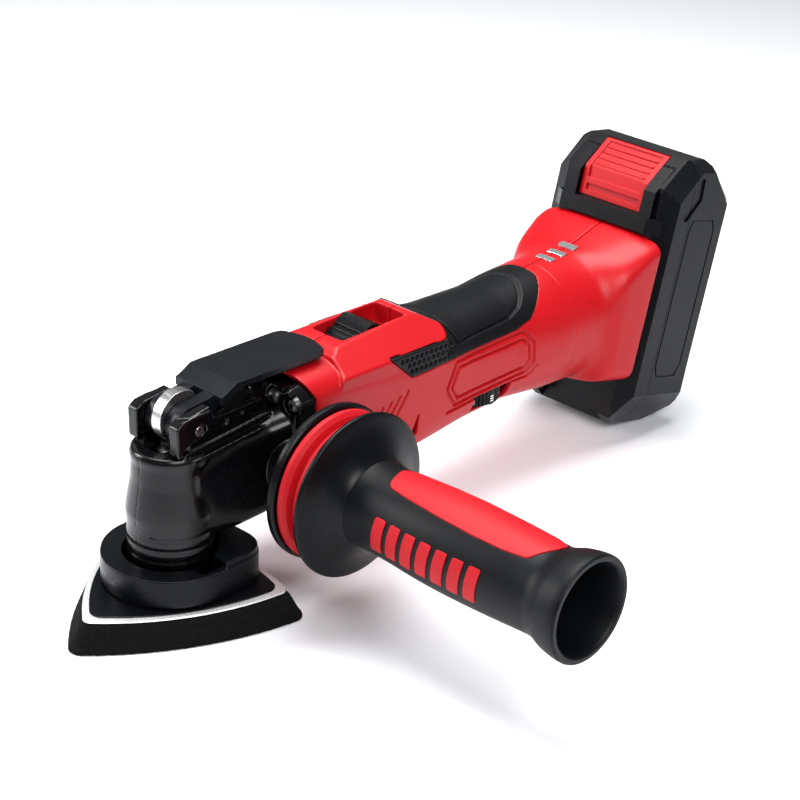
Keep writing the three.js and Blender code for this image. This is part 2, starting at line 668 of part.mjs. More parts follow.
const housing = housingSolid();
addPiece('housing_right', housing.intersect(block(0, 400, -60, -0.15, 0, 200)), RED);
addPiece('housing_left', housing.intersect(block(0, 400, 0.15, 60, 0, 200)), RED);
addPiece('grip_overmould', gripSolid(), RUBBER);
SHELL_SCREWS.forEach(([x, z], k) => addPiece(`housing_screw_${k + 1}`, shellScrew(x, z), DARK_STEEL));
LIGHTS_X.forEach((x, k) => {
  const lens = block(x - 1.9, x + 1.9, -4.7, 4.7, 88, 110).intersect(bodySolid(-0.2));
  addPiece(`light_window_${k + 1}`, lens, finish(0xdfe3e6, 0.2, 0.3));
});

// ---- Controls and electronics ----
const SLIDER_HALF = 8.4;

function switchSlider() {
  const side = [
    [90, 86], [90, 87.5], [91.5, 89], [93.6, 91], [96.4, 91.2], [99.6, 94.2], [101.8, 95.4],
    [104.4, 95], [109, 92.4], [113.6, 90], [115, 88.4], [115, 86],
  ];
  const stem = block(96, 106, -3.8, 3.8, 84, 87);
  return join(slab('y', side, -SLIDER_HALF, SLIDER_HALF), stem);
}

addPiece('switch_slider', switchSlider(), BLACK);
addPiece('switch_board', block(88, 114, -6, 6, 81.4, 83.2), BOARD);
const dialLow = DIAL.z - DIAL.thick / 2;
const dialHigh = DIAL.z + DIAL.thick / 2;
const dialRing = turned('z', [DIAL.x, DIAL.y], [
  [0, dialLow], [DIAL.r - 0.5, dialLow], [DIAL.r, dialLow + 0.5], [DIAL.r, dialHigh - 0.5],
  [DIAL.r - 0.5, dialHigh], [0, dialHigh],
], 24);
addPiece('speed_dial', dialRing, BLACK);
addPiece('control_board', block(176, 236, -13, 13, 55, 56.6), BOARD);

// ---- Battery rail: closes the foot and carries the tongue that guides the pack ----
const TONGUE = { half: 18, neck: 15, step: 4.4, back: 8.4, low: 6, high: 54 };
const BLADE_Y = 7;

function leaningBlock(v0, v1, y0, y1, u0, u1) {
  const geometry = new THREE.BoxGeometry(v1 - v0, y1 - y0, u1 - u0);
  geometry.translate((v0 + v1) / 2, (y0 + y1) / 2, (u0 + u1) / 2);
  geometry.rotateY(radians(RAKE)).translate(FOOT.x, 0, FOOT.z);
  return toSolid(geometry);
}

function batteryRail() {
  const { half, neck: waist, step, back, low, high } = TONGUE;
  const backPlate = leaningBlock(-4, -0.8, -60, 60, -30, 80).intersect(bodySolid(WALL + GAP, 8));
  const slots = [-1, 1].map((side) => {
    const y = side * BLADE_Y;
    return leaningBlock(-6, 7, y - 0.9, y + 0.9, 20, 60);
  });
  const tongue = join(
    leaningBlock(-2, step + 0.4, -waist, waist, low, high),
    leaningBlock(step, back, -half, half, low, high),
  );
  return cut(join(backPlate, tongue), ...slots);
}

addPiece('battery_rail', batteryRail(), BLACK);
['right', 'left'].forEach((side, k) => {
  const y = k ? BLADE_Y : -BLADE_Y;
  addPiece(`terminal_blade_${side}`, leaningBlock(-12, 6, y - 0.5, y + 0.5, 22, 40), COPPER);
});

// ---- Battery pack, in its own leaning frame: x is depth behind the foot, z is along the pack ----
const pack = new THREE.Group();
pack.position.set(FOOT.x, 0, FOOT.z);
pack.rotation.y = radians(RAKE);
tool.add(pack);

// The heel edge touches the table.
const HEEL = 36.3;
const PACK_LOW = -(FOOT.z - HEEL * Math.sin(radians(RAKE))) / Math.cos(radians(RAKE));
const PACK_HIGH = 97.7;
const PACK_FRONT = 0.5;
const COVER_SPLIT = 15.2;
const LATCH_HALF = 18.3;
const LIP = { front: -3.6, low: 61.2, high: 68.5, half: 31 };

// The pack seen from the side; towards its two flanks the front and rear edges are set back.
function packRing(y, front, rear) {
  return [
    [PACK_FRONT + front, -22], [4.3 + front, -28.5], [9 + front, PACK_LOW], [HEEL - rear, PACK_LOW],
    [PACK_DEPTH - rear, -23.4], [PACK_DEPTH - rear, 81 - rear], [26.4, PACK_HIGH - rear],
    [14.4 + front, 96.9 - front / 2], [PACK_FRONT + front, 83 - front], [PACK_FRONT + front, 66],
  ].map(([v, u]) => new THREE.Vector3(v, y, u));
}

function packSolid() {
  const rings = [[-1, 4.6, 3], [-0.9, 2.6, 0], [-0.775, 0, 0], [0.775, 0, 0], [0.9, 2.6, 0], [1, 4.6, 3]]
    .map(([share, front, rear]) => packRing(share * PACK_HALF, front, rear));
  const face = [
    [-21.8, PACK_LOW - 1], [21.8, PACK_LOW - 1], [22.4, PACK_LOW], [29.7, -23.7], [36, -13.9], [36, 92.6],
    [27, PACK_HIGH + 1], [-27, PACK_HIGH + 1], [-36, 92.6], [-36, -13.9], [-29.7, -23.7], [-22.4, PACK_LOW],
  ];
  const { front, low, high, half } = LIP;
  const lip = slab('z', [[front, -half + 6], [front, half - 6], [PACK_FRONT + 1, half], [PACK_FRONT + 1, -half]], low, high);
  return join(loft(rings).intersect(slab('x', face, -10, 60)), lip);
}

const PACK_HOLLOW = [[11.4, 42, 32.8, -12.4, 63], [17.2, 42, 32.8, -12.4, 82]];

function packShell() {
  const hollow = PACK_HOLLOW.map(([v0, v1, half, u0, u1]) => block(v0, v1, -half, half, u0, u1));
  const channel = join(
    block(-2, 4.1, -15.4, 15.4, -60, 54.6),
    block(4, 8.8, -18.4, 18.4, -60, 54.6),
  );
  const latchBay = slab('y', [
    [-8, 68.9], [8.4, 68.9], [8.4, 81], [18.9, 92.6], [18.9, 96.4], [-8, 96.4],
  ], -LATCH_HALF - GAP, LATCH_HALF + GAP);
  return cut(packSolid(), ...hollow, channel, latchBay);
}

const shell = packShell();
const everything = 200;
const ahead = block(-50, COVER_SPLIT - 0.15, -everything, everything, -everything, everything);
const behind = block(COVER_SPLIT + 0.15, 200, -everything, everything, -everything, everything);
addPiece('battery_cover', shell.intersect(ahead), BLACK, pack);
addPiece('battery_case', shell.intersect(behind), BLACK, pack);
for (let k = 0; k < 5; k += 1) {
  const cell = rod('y', [29.7, -2.8 + k * CELL_PITCH], CELL_R, -32.3, 32.3, 20);
  addPiece(`battery_cell_${k + 1}`, cell, CELL, pack);
}
addPiece('battery_board', block(12, 13.4, -30, 30, -6, 60), BOARD, pack);
const latchSide = [
  [0.6, 69.2], [5.6, 69.2], [5.6, 81.6], [15.8, 93.1], [15.8, 96], [13, 96], [0.6, 82.8],
];
addPiece('battery_latch', slab('y', latchSide, -LATCH_HALF, LATCH_HALF), RED, pack);

// ---- Side handle, screwed into the right boss; distances run outwards along -Y ----
const handleTurned = (profile, sides = 28) =>
  turned('y', [HANDLE_X, HANDLE_Z], profile.map(([r, s]) => [r, -s]), sides);

const GRIP_START = 67;
const CORE_R = 12.9;
const CORE_END = 150.3;
const GRIP_PROFILE = [
  [17.9, GRIP_START], [17.6, 73], [17.9, 86], [18.7, 100], [19, 116], [18.6, 136], [17.9, 152],
  [18.1, 158], [20.2, 164], [21.3, 170], [21.4, 173],
];

function handleGrip() {
  return handleTurned([
    [CORE_R + GAP, GRIP_START], ...GRIP_PROFILE, [20.8, HANDLE_END], [19, HANDLE_END], [18, 172.5],
    [16.6, 166], [15.8, CORE_END + GAP], [CORE_R + GAP, CORE_END + GAP], [CORE_R + GAP, GRIP_START],
  ]);
}

// The red inlay on top of the grip; [across, out along the handle] from the handle's axis.
const INLAY = [
  [-8, 80.5], [3.6, 77.5], [9.5, 82], [10, 150], [4.4, 158.6], [-0.4, 157.4], [-9.6, 151], [-11.6, 120],
];
const INLAY_DEPTH = 1.2;

function inlayPrism(grow) {
  const outline = offsetOutline(INLAY, grow).map(([across, out]) => [HANDLE_X + across, -out]);
  return slab('z', outline, HANDLE_Z, 120);
}

const gripCore = (grow) => handleTurned([
  [0, GRIP_START], ...GRIP_PROFILE.map(([r, s]) => [r + grow, s]), [0, 173],
]);

const inlaySeat = cut(inlayPrism(GAP), gripCore(-INLAY_DEPTH - GAP));

addPiece('handle_stud', handleTurned([
  [0, 20], [3.9, 20], [3.9, 34.3], [9, 34.3], [9, 37.8], [3.9, 37.8], [3.9, 96], [0, 96],
], 18), STEEL);
addPiece('handle_disc', handleTurned([
  [4.3, 38.1], [28.5, 38.1], [32, 39.6], [32.6, 40.6], [32.6, 42], [31.8, 43], [4.3, 43], [4.3, 38.1],
]), BLACK);
addPiece('handle_bellows', handleTurned([
  [6, 43.3], [30.2, 43.3], [31.3, 44.6], [31.3, 46.4], [29.5, 47.8], [26.5, 48.6], [26.5, 50.2],
  [29.6, 51.4], [30.6, 52.6], [30.6, 53.8], [29.6, 55.2], [6, 55.2], [6, 43.3],
]), RED);
addPiece('handle_guard', handleTurned([
  [4.3, 55.5], [33, 55.5], [34.3, 56.6], [34.3, 58.2], [30, 59.5], [25, 61.5], [21, 64], [18.2, 66.7],
  [CORE_R, 66.7], [CORE_R, CORE_END], [0, CORE_END], [0, 97], [4.3, 97], [4.3, 55.5],
]), BLACK);
addPiece('handle_grip', cut(handleGrip(), inlaySeat), RUBBER);
addPiece('handle_inlay', cut(gripCore(0.4), gripCore(-INLAY_DEPTH)).intersect(inlayPrism(0)), RED);

export default tool;
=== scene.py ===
"""Finished look of the cordless oscillating multi-tool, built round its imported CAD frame."""

import json
import math

import bmesh
import bpy
import numpy as np
from mathutils import Matrix, Vector


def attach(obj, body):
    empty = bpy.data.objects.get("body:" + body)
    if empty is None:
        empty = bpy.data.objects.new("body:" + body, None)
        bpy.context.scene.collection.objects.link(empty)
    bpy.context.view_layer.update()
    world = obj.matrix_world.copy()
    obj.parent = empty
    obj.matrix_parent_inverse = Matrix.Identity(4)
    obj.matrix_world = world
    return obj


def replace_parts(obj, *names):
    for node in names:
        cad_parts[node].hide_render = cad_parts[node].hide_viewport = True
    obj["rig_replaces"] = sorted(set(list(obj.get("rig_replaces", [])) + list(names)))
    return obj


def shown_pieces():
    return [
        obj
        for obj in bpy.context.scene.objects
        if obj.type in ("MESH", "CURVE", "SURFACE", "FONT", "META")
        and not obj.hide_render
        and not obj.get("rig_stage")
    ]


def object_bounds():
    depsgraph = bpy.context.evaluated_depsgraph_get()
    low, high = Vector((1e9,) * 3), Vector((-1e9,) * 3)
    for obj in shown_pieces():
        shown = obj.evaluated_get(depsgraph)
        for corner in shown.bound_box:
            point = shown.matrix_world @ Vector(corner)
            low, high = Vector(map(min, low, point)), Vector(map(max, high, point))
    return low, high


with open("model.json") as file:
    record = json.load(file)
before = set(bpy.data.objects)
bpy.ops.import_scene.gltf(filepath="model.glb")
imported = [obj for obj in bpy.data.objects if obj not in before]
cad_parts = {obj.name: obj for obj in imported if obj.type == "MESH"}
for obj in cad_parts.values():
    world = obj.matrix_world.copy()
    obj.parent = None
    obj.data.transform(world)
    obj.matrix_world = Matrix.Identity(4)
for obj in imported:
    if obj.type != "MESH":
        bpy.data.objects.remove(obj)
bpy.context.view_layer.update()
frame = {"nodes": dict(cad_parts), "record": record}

# ---- Driving dimensions, in millimetres ----
MM = 0.001
MOTOR_Z = 61.5  # height of the motor and barrel axis
PIVOT_X, PIVOT_Z = 3, 80.7  # lever pivot
PIN_R, PIN_BORE = 2.5, 2.8  # pivot pin and the holes that it turns in
EAR_Y, EAR_SLOT = 13.5, 9.2  # half the ears' outer width and half the gap between them
EYE_R = 8.5  # the lever's two eyes round the pin
CAM_R, CAM_LIFT, CAM_TURN = 7.5, 3.5, 110  # the cam grows by its lift over a turn in degrees
FLANGE_X = 55  # rear face of the gear casting
HANDLE_X, HANDLE_Z = 46.4, 55  # axis of the side handle, along Y
BOSS_R, BOSS_END = 13, 34  # radius of the handle bosses, and their faces from the centre plane
STUD_BORE = 4.3  # clearance hole for the handle's M8 stud
RAKE = math.radians(13.5)  # lean of the foot and the battery
FOOT_X, FOOT_Z = 250.9, 40  # where the battery frame starts
PAD_TURN = math.radians(4.5)  # the pad sits turned slightly on its spindle
HUB_BORE = 5.6  # hole through the pad's plate and hub
WALL = 2.4  # housing wall
RUBBER_DEPTH = 1.6
GROOVE_DEPTH = 1.25
GAP = 0.3  # running clearance
SEAM_GAP = 0.12  # visible joint between pieces that are fixed together
SCREW_R, SCREW_HEAD_R = 1.8, 3.9  # clearance holes of the flange screws and their heads


# ---- Meshes ----
def link(name, mesh):
    obj = bpy.data.objects.new(name, mesh)
    bpy.context.scene.collection.objects.link(obj)
    return obj


def make(points, faces, name="work"):
    """A closed mesh from points in millimetres, with its faces turned outwards."""
    mesh = bpy.data.meshes.new(name)
    mesh.from_pydata([Vector(p) * MM for p in points], [], faces)
    bm = bmesh.new()
    bm.from_mesh(mesh)
    bmesh.ops.remove_doubles(bm, verts=bm.verts, dist=1e-7)
    bmesh.ops.recalc_face_normals(bm, faces=bm.faces)
    bm.to_mesh(mesh)
    bm.free()
    return link(name, mesh)


def box(x0, x1, y0, y1, z0, z1):
    points = [(x, y, z) for x in (x0, x1) for y in (y0, y1) for z in (z0, z1)]
    faces = [(0, 1, 3, 2), (4, 6, 7, 5), (0, 4, 5, 1), (2, 3, 7, 6), (0, 2, 6, 4), (1, 5, 7, 3)]
    return make(points, faces)


AXES = {
    "x": lambda u, v, h: (h, u, v),
    "y": lambda u, v, h: (u, h, v),
    "z": lambda u, v, h: (u, v, h),
}


def slab(axis, outline, low, high):
    """A flat outline pushed along an axis; its coordinates are the other two axes, in order."""
    n = len(outline)
    points = [AXES[axis](u, v, h) for h in (low, high) for u, v in outline]
    sides = [(i, (i + 1) % n, n + (i + 1) % n, n + i) for i in range(n)]
    return make(points, [tuple(range(n)), tuple(range(n, 2 * n)), *sides])


def lathe(axis, centre, profile, sides=96):
    """A profile of (radius, place along the axis) turned round a line parallel to an axis."""
    points, rings = [], []
    loop = profile[0] == profile[-1]
    for r, h in profile[: -1 if loop else None]:
        ring = []
        for k in range(sides if r > 0 else 1):
            turn = 2 * math.pi * k / sides
            u, v = centre[0] + r * math.cos(turn), centre[1] + r * math.sin(turn)
            ring.append(len(points))
            points.append(AXES[axis](u, v, h))
        rings.append(ring * (1 if r > 0 else sides))
    faces = []
    for a, b in zip(rings, rings[1:] + (rings[:1] if loop else [])):
        for k in range(sides):
            m = (k + 1) % sides
            face = list(dict.fromkeys([a[k], a[m], b[m], b[k]]))
            if len(face) > 2:
                faces.append(face)
    return make(points, faces)


def rod(axis, centre, r, low, high, sides=64):
    return lathe(axis, centre, [(0, low), (r, low), (r, high), (0, high)], sides)


def loft(rings):
    n = len(rings[0])
    faces = [tuple(range(n)), tuple(range(n * (len(rings) - 1), n * len(rings)))]
    for k in range(len(rings) - 1):
        for i in range(n):
            a, b = k * n + i, k * n + (i + 1) % n
            faces.append((a, b, b + n, a + n))
    return make([p for ring in rings for p in ring], faces)


def bake(obj):
    """Turns an object's modifiers into its mesh."""
    bpy.context.view_layer.update()
    evaluated = obj.evaluated_get(bpy.context.evaluated_depsgraph_get())
    mesh = bpy.data.meshes.new_from_object(evaluated)
    obj.modifiers.clear()
    obj.data = mesh
    return obj


def combine(operation, first, others):
    for other in others:
        step = first.modifiers.new("step", "BOOLEAN")
        step.operation = operation
        step.solver = "MANIFOLD"
        step.object = other
    bake(first)
    for other in others:
        bpy.data.objects.remove(other)
    return first


def join(first, *others):
    return combine("UNION", first, others)


def cut(first, *others):
    return combine("DIFFERENCE", first, others)


def common(first, *others):
    return combine("INTERSECT", first, others)


def copy(obj):
    return link("work", obj.data.copy())


def moulded(obj, voxel, passes=6):
    """An even fine skin whose edges and inner corners are softened, as on a moulding."""
    skin = obj.modifiers.new("skin", "REMESH")
    skin.mode = "VOXEL"
    skin.voxel_size = voxel * MM
    soft = obj.modifiers.new("soft", "SMOOTH")
    soft.factor = 0.5
    soft.iterations = passes
    return bake(obj)


def bevelled(obj, width, segments=3, angle=28):
    """Rounds the edges that turn by more than an angle, after flat faces are merged."""
    flat = obj.modifiers.new("flat", "DECIMATE")
    flat.decimate_type = "DISSOLVE"
    flat.angle_limit = math.radians(1.5)
    edge = obj.modifiers.new("edge", "BEVEL")
    edge.width = width * MM
    edge.segments = segments
    edge.limit_method = "ANGLE"
    edge.angle_limit = math.radians(angle)
    return bake(obj)


def shade(obj, angle=38):
    """Smooth shading, with edges sharper than an angle kept; 0 smooths them all."""
    obj.data.shade_smooth()
    if angle:
        bm = bmesh.new()
        bm.from_mesh(obj.data)
        for e in bm.edges:
            if len(e.link_faces) == 2 and e.calc_face_angle(0) > math.radians(angle):
                e.smooth = False
        bm.to_mesh(obj.data)
        bm.free()
        even = obj.modifiers.new("even", "WEIGHTED_NORMAL")
        even.keep_sharp = True
    return obj


def place(obj, matrix):
    obj.data.transform(matrix)
    return obj


# Battery frame: x is depth behind the foot, z runs up along the pack.
LEAN = Matrix.Translation(Vector((FOOT_X, 0, FOOT_Z)) * MM) @ Matrix.Rotation(RAKE, 4, "Y")
TURN = Matrix.Rotation(PAD_TURN, 4, "Z")


def offset(outline, by):
    """An outline moved outwards by a distance, or inwards by a negative one."""
    n = len(outline)
    area = sum(
        outline[k][0] * outline[(k + 1) % n][1] - outline[(k + 1) % n][0] * outline[k][1]
        for k in range(n)
    )
    turn = by * math.copysign(1, area)
    moved = []
    for k in range(n):
        p = Vector(outline[k])
        before = (p - Vector(outline[k - 1])).normalized()
        after = (Vector(outline[(k + 1) % n]) - p).normalized()
        normal = Vector((before.y + after.y, -before.x - after.x)).normalized()
        spread = max(0.3, normal.x * after.y - normal.y * after.x)
        moved.append(tuple(p + normal * (turn / spread)))
    return moved


def rounded(outline, r, steps=6):
    """An outline with each corner rounded, by up to the given radius."""
    n, points = len(outline), []
    for k in range(n):
        p = Vector(outline[k])
        to_before, to_after = Vector(outline[k - 1]) - p, Vector(outline[(k + 1) % n]) - p
        half = to_before.angle(to_after) / 2
        trim = min(r / math.tan(half), to_before.length * 0.45, to_after.length * 0.45)
        a, b = p + to_before.normalized() * trim, p + to_after.normalized() * trim
        for i in range(steps + 1):
            t = i / steps
            points.append(tuple(a * (1 - t) ** 2 + p * 2 * t * (1 - t) + b * t**2))
    return points


def strip(line, width, closed=False):
    """The outlines of a band of even width along a line, one for each of its stretches."""
    pieces = []
    for a, b in zip(line, line[1:] + (line[:1] if closed else [])):
        a, b = Vector(a), Vector(b)
        along = (b - a).normalized() * width * 0.5
        side = Vector((-along.y, along.x))
        corners = (a - along + side, a - along - side, b + along - side, b + along + side)
        pieces.append([tuple(p) for p in corners])
    return pieces


# ---- Materials ----
def mixed(nodes, links, low, high, factor):
    mix = nodes.new("ShaderNodeMix")
    mix.data_type = "RGBA"
    mix.inputs[6].default_value = (*low, 1)
    mix.inputs[7].default_value = (*high, 1)
    links.new(factor, mix.inputs[0])
    return mix.outputs[2]


def noise(nodes, links, coordinate, scale, detail=2, roughness=0.5):
    node = nodes.new("ShaderNodeTexNoise")
    node.inputs["Scale"].default_value = scale
    node.inputs["Detail"].default_value = detail
    node.inputs["Roughness"].default_value = roughness
    links.new(coordinate, node.inputs["Vector"])
    return node.outputs["Fac"]


def material(name, low, high, gloss, grain, metal=0.0, stretch=None, cloud=60, shine=0.5):
    """Colour drifts between low and high and roughness over gloss; grain is the scale and depth."""
    made = bpy.data.materials.new(name)
    made.use_nodes = True
    nodes, links = made.node_tree.nodes, made.node_tree.links
    shader = nodes["Principled BSDF"]
    where = nodes.new("ShaderNodeTexCoord").outputs["Object"]
    fine_where = where
    if stretch:
        scaled = nodes.new("ShaderNodeMapping")
        scaled.inputs["Scale"].default_value = stretch
        links.new(where, scaled.inputs["Vector"])
        fine_where = scaled.outputs["Vector"]
    drift = noise(nodes, links, where, cloud, 3)
    fine = noise(nodes, links, fine_where, grain[0], 4, 0.6)
    links.new(mixed(nodes, links, low, high, drift), shader.inputs["Base Color"])
    span = nodes.new("ShaderNodeMapRange")
    span.inputs["From Min"].default_value = 0.3
    span.inputs["From Max"].default_value = 0.7
    span.inputs["To Min"].default_value = gloss[0]
    span.inputs["To Max"].default_value = gloss[1]
    links.new(fine, span.inputs["Value"])
    links.new(span.outputs["Result"], shader.inputs["Roughness"])
    bump = nodes.new("ShaderNodeBump")
    bump.inputs["Strength"].default_value = grain[1]
    bump.inputs["Distance"].default_value = 0.0003
    links.new(fine, bump.inputs["Height"])
    links.new(bump.outputs["Normal"], shader.inputs["Normal"])
    shader.inputs["Metallic"].default_value = metal
    shader.inputs["Specular IOR Level"].default_value = shine
    return made


RED = material(
    "red_plastic", (0.38, 0.0028, 0.006), (0.44, 0.0042, 0.008),
    (0.3, 0.4), (1900, 0.10), shine=0.24,
)
RED_SOFT = material(
    "red_soft", (0.4, 0.004, 0.009), (0.46, 0.006, 0.012),
    (0.42, 0.55), (1500, 0.12), shine=0.2,
)
BLACK = material(
    "black_plastic", (0.0012, 0.0015, 0.0021), (0.0026, 0.003, 0.004),
    (0.24, 0.36), (2100, 0.12), shine=0.15,
)
CAST = material(
    "cast_black", (0.001, 0.001, 0.0013), (0.002, 0.002, 0.0026),
    (0.17, 0.28), (700, 0.07), shine=0.3,
)
SATIN = material(
    "lever_black", (0.0025, 0.0032, 0.0045), (0.005, 0.006, 0.008),
    (0.26, 0.36), (1300, 0.12), shine=0.2,
)
RUBBER = material(
    "rubber_black", (0.0018, 0.0021, 0.0027), (0.0036, 0.0041, 0.005),
    (0.36, 0.5), (2600, 0.2), shine=0.15,
)
FOAM = material(
    "foam", (0.001, 0.001, 0.001), (0.007, 0.007, 0.007),
    (0.85, 1), (900, 1.0), cloud=700, shine=0.1,
)
PLATE = material(
    "pad_metal", (0.84, 0.85, 0.86), (0.92, 0.92, 0.93),
    (0.26, 0.31), (1500, 0.01), 0.6,
)
STEEL = material(
    "steel", (0.42, 0.42, 0.43), (0.58, 0.58, 0.58),
    (0.22, 0.34), (1900, 0.05), 1.0, stretch=(1, 0.06, 1),
)
DARK_STEEL = material(
    "dark_steel", (0.05, 0.05, 0.052), (0.1, 0.1, 0.102),
    (0.3, 0.45), (1400, 0.1), 0.9,
)
COPPER = material("copper", (0.55, 0.22, 0.09), (0.7, 0.32, 0.14), (0.28, 0.42), (1200, 0.15), 1.0)
BOARD = material("board", (0.012, 0.09, 0.03), (0.02, 0.13, 0.045), (0.35, 0.5), (700, 0.1))
CELL = material("cell", (0.02, 0.1, 0.32), (0.03, 0.14, 0.4), (0.3, 0.4), (900, 0.06))
LENS = material(
    "window", (0.42, 0.43, 0.44), (0.8, 0.81, 0.82),
    (0.1, 0.25), (1500, 0.15), 0.85, cloud=900,
)
MARK = material("dial_mark", (0.7, 0.7, 0.7), (0.8, 0.8, 0.8), (0.5, 0.6), (1800, 0.1))
LOOKS = {
    "red_plastic": RED, "black_plastic": BLACK, "cast_black": CAST, "lever_black": SATIN,
    "rubber_black": RUBBER, "foam": FOAM, "pad_metal": PLATE, "steel": STEEL,
    "dark_steel": DARK_STEEL, "copper": COPPER, "board": BOARD, "cell": CELL, "window": LENS,
}
SLOT = {s["node"]: s["material_slot"] for s in frame["record"]["subparts"]}
BODY_OF = {n: b for b, ns in frame["record"]["behaviour"]["bodies"].items() for n in ns}


def dress(obj, look):
    obj.data.materials.clear()
    obj.data.materials.append(look)


def finished(obj, name, *nodes, look=None, angle=38):
    """Names a built piece, gives it its look and lets it stand for its CAD nodes."""
    obj.name = name
    shade(obj, angle)
    dress(obj, look or LOOKS[SLOT[nodes[0]]])
    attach(obj, BODY_OF[nodes[0]])
    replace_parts(obj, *nodes)
    return obj


def added(obj, name, body, slot, look=None, angle=38):
    obj.name = name
    shade(obj, angle)
    dress(obj, look or LOOKS[slot])
    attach(obj, body)
    return obj


# ---- Red housing: a fine skin through the barrel's sections, with the faceted hump on top ----
FOOT_END = FOOT_X + (MOTOR_Z - FOOT_Z) * math.tan(RAKE)  # foot's rear face at the motor's height
# Each section: x, half width, the straight sides' lowest and highest z, the arches' depth below
# and height above, the arches' squareness, and the section's lean in degrees.
SECTIONS = np.array([
    [46, 25.4, 50, 74, 14, 16.6, 3, 0],
    [70, 25.4, 50, 74, 14.2, 16.4, 3, 0],
    [120, 25.2, 50, 72, 14.8, 17, 2.8, 0],
    [150, 24.5, 56, 66, 20.5, 21.2, 2.4, 0],
    [180, 25.2, 60, 63, 24.8, 24.8, 2.1, 0],
    [208, 28.6, 61, 62, 29, 28.6, 2, 0],
    [227, 29.1, 60, 63, 28.5, 28.6, 2, 0.5],
    [233.5, 29.8, 58, 65, 26.6, 27.2, 2.1, 4],
    [239, 33.2, 48, 77, 17, 16.6, 2.9, 8.5],
    [251, 34.7, 42, 89, 11, 9.4, 3.3, 12],
    [FOOT_END, 35, 41, 90.5, 10.6, 8.5, 3.4, 13.5],
])


def section_ring(row, inset=0.0, steps=40):
    x, half, low, high, dip, rise, square, lean = row
    ring = []
    for base, arch, side in ((high, rise - inset, 1), (low, dip - inset, -1)):
        for k in range(steps + 1):
            angle = math.pi * k / steps
            c, s = math.cos(angle), math.sin(angle)
            y = side * (half - inset) * math.copysign(abs(c) ** (2 / square), c)
            z = base + side * arch * abs(s) ** (2 / square)
            ring.append((x + (z - MOTOR_Z) * math.tan(math.radians(lean)), y, z))
    return ring


def section_outline(row, inset):
    return [(y, z) for _, y, z in section_ring(row, inset)]


def between(sections, xs):
    """Sections at the given places, smoothed along the way."""
    rows = np.stack([np.interp(xs, sections[:, 0], column) for column in sections.T], 1)
    for _ in range(2):
        rows[1:-1, 1:] = (rows[:-2, 1:] + 2 * rows[1:-1, 1:] + rows[2:, 1:]) / 4
    return rows


def barrel(inset=0.0, beyond=0.0):
    xs = np.append(np.arange(SECTIONS[0, 0], SECTIONS[-1, 0] - 0.7, 1.5), SECTIONS[-1, 0])
    rows = between(SECTIONS, xs)
    rows[0, 0] -= beyond
    rows[-1, 0] += beyond
    return loft([section_ring(row, inset) for row in rows])


HUMP_HALF = 24.8
HUMP_END = [
    (-HUMP_HALF, 70), (-HUMP_HALF, 85.4), (-4, 98), (4, 98), (HUMP_HALF, 85.4), (HUMP_HALF, 70),
]
HUMP_SIDE = [
    (66, 70), (69, 84), (71.5, 87.5), (72.3, 91), (78.5, 93.3), (124.5, 95), (138, 88), (147, 80),
    (147, 70),
]
HUMP_TOP = [(60, -26), (131, -26), (138, -13), (138, 13), (131, 26), (60, 26)]


def hump(inset, edge):
    solid = common(
        slab("x", offset(HUMP_END, -inset), 40, 160),
        slab("y", offset(HUMP_SIDE, -inset), -40, 40),
        slab("z", rounded(offset(HUMP_TOP, -inset), 7, 9), 60, 110),
    )
    return bevelled(solid, edge, 3, 10) if edge else solid


def body(inset=0.0, beyond=0.0):
    return join(barrel(inset, beyond), hump(inset, 1.6 if inset < 1 else 0))


GRIP_SIDE = [  # outline of the rubber, from the side
    (97, 86), (110, 74.8), (179, 75.4), (189, 77.8), (195.5, 82), (201.5, 86), (207, 89.5),
    (209, 110), (126, 110), (127.5, 95.5), (131.5, 93.5), (134.5, 90), (134, 86.5), (130, 85.4),
]
# Joint between the gear casting and the housing, from the side.
SEAM = [(55.3, 0), (55.3, 81), (49, 95), (49, 130)]
WELL = {"x0": 84, "x1": 121.5, "half": 9, "floor": 85.6}
DIAL = {"x": 164.2, "y": -11, "z": 48, "r": 12.4, "thick": 7}
LIGHTS_X = (223, 231, 239)
SHELL_SCREWS = ((182, 42), (216, 42), (214, 82))  # x, z
FLANGE_SCREWS = ((9.7, 80.5), (21.2, 80.7))  # distance from the centre plane, z
# Outline of the raised panel on each flank.
PANEL = [(138, 73), (183, 73.6), (187.7, 69), (188, 59), (183, 55), (138, 53), (132.3, 61)]


def grip_prism(grow):
    return slab("y", rounded(offset(GRIP_SIDE, grow), 0.7, 3), -60, 60)


def groove(outlines):
    """One cutter right across the tool along flat outlines."""
    cutters = [slab("y", o, -60, 60) for o in outlines]
    return join(cutters[0], *cutters[1:])


def shell_screw_hole(x, z):
    """A screw hole from the left, with the counterbore for its head."""
    profile = [(0, -8.3), (1.8, -8.3), (1.8, 13.3), (3.5, 13.3), (3.5, 60), (0, 60)]
    return lathe("y", (x, z), profile, 32)


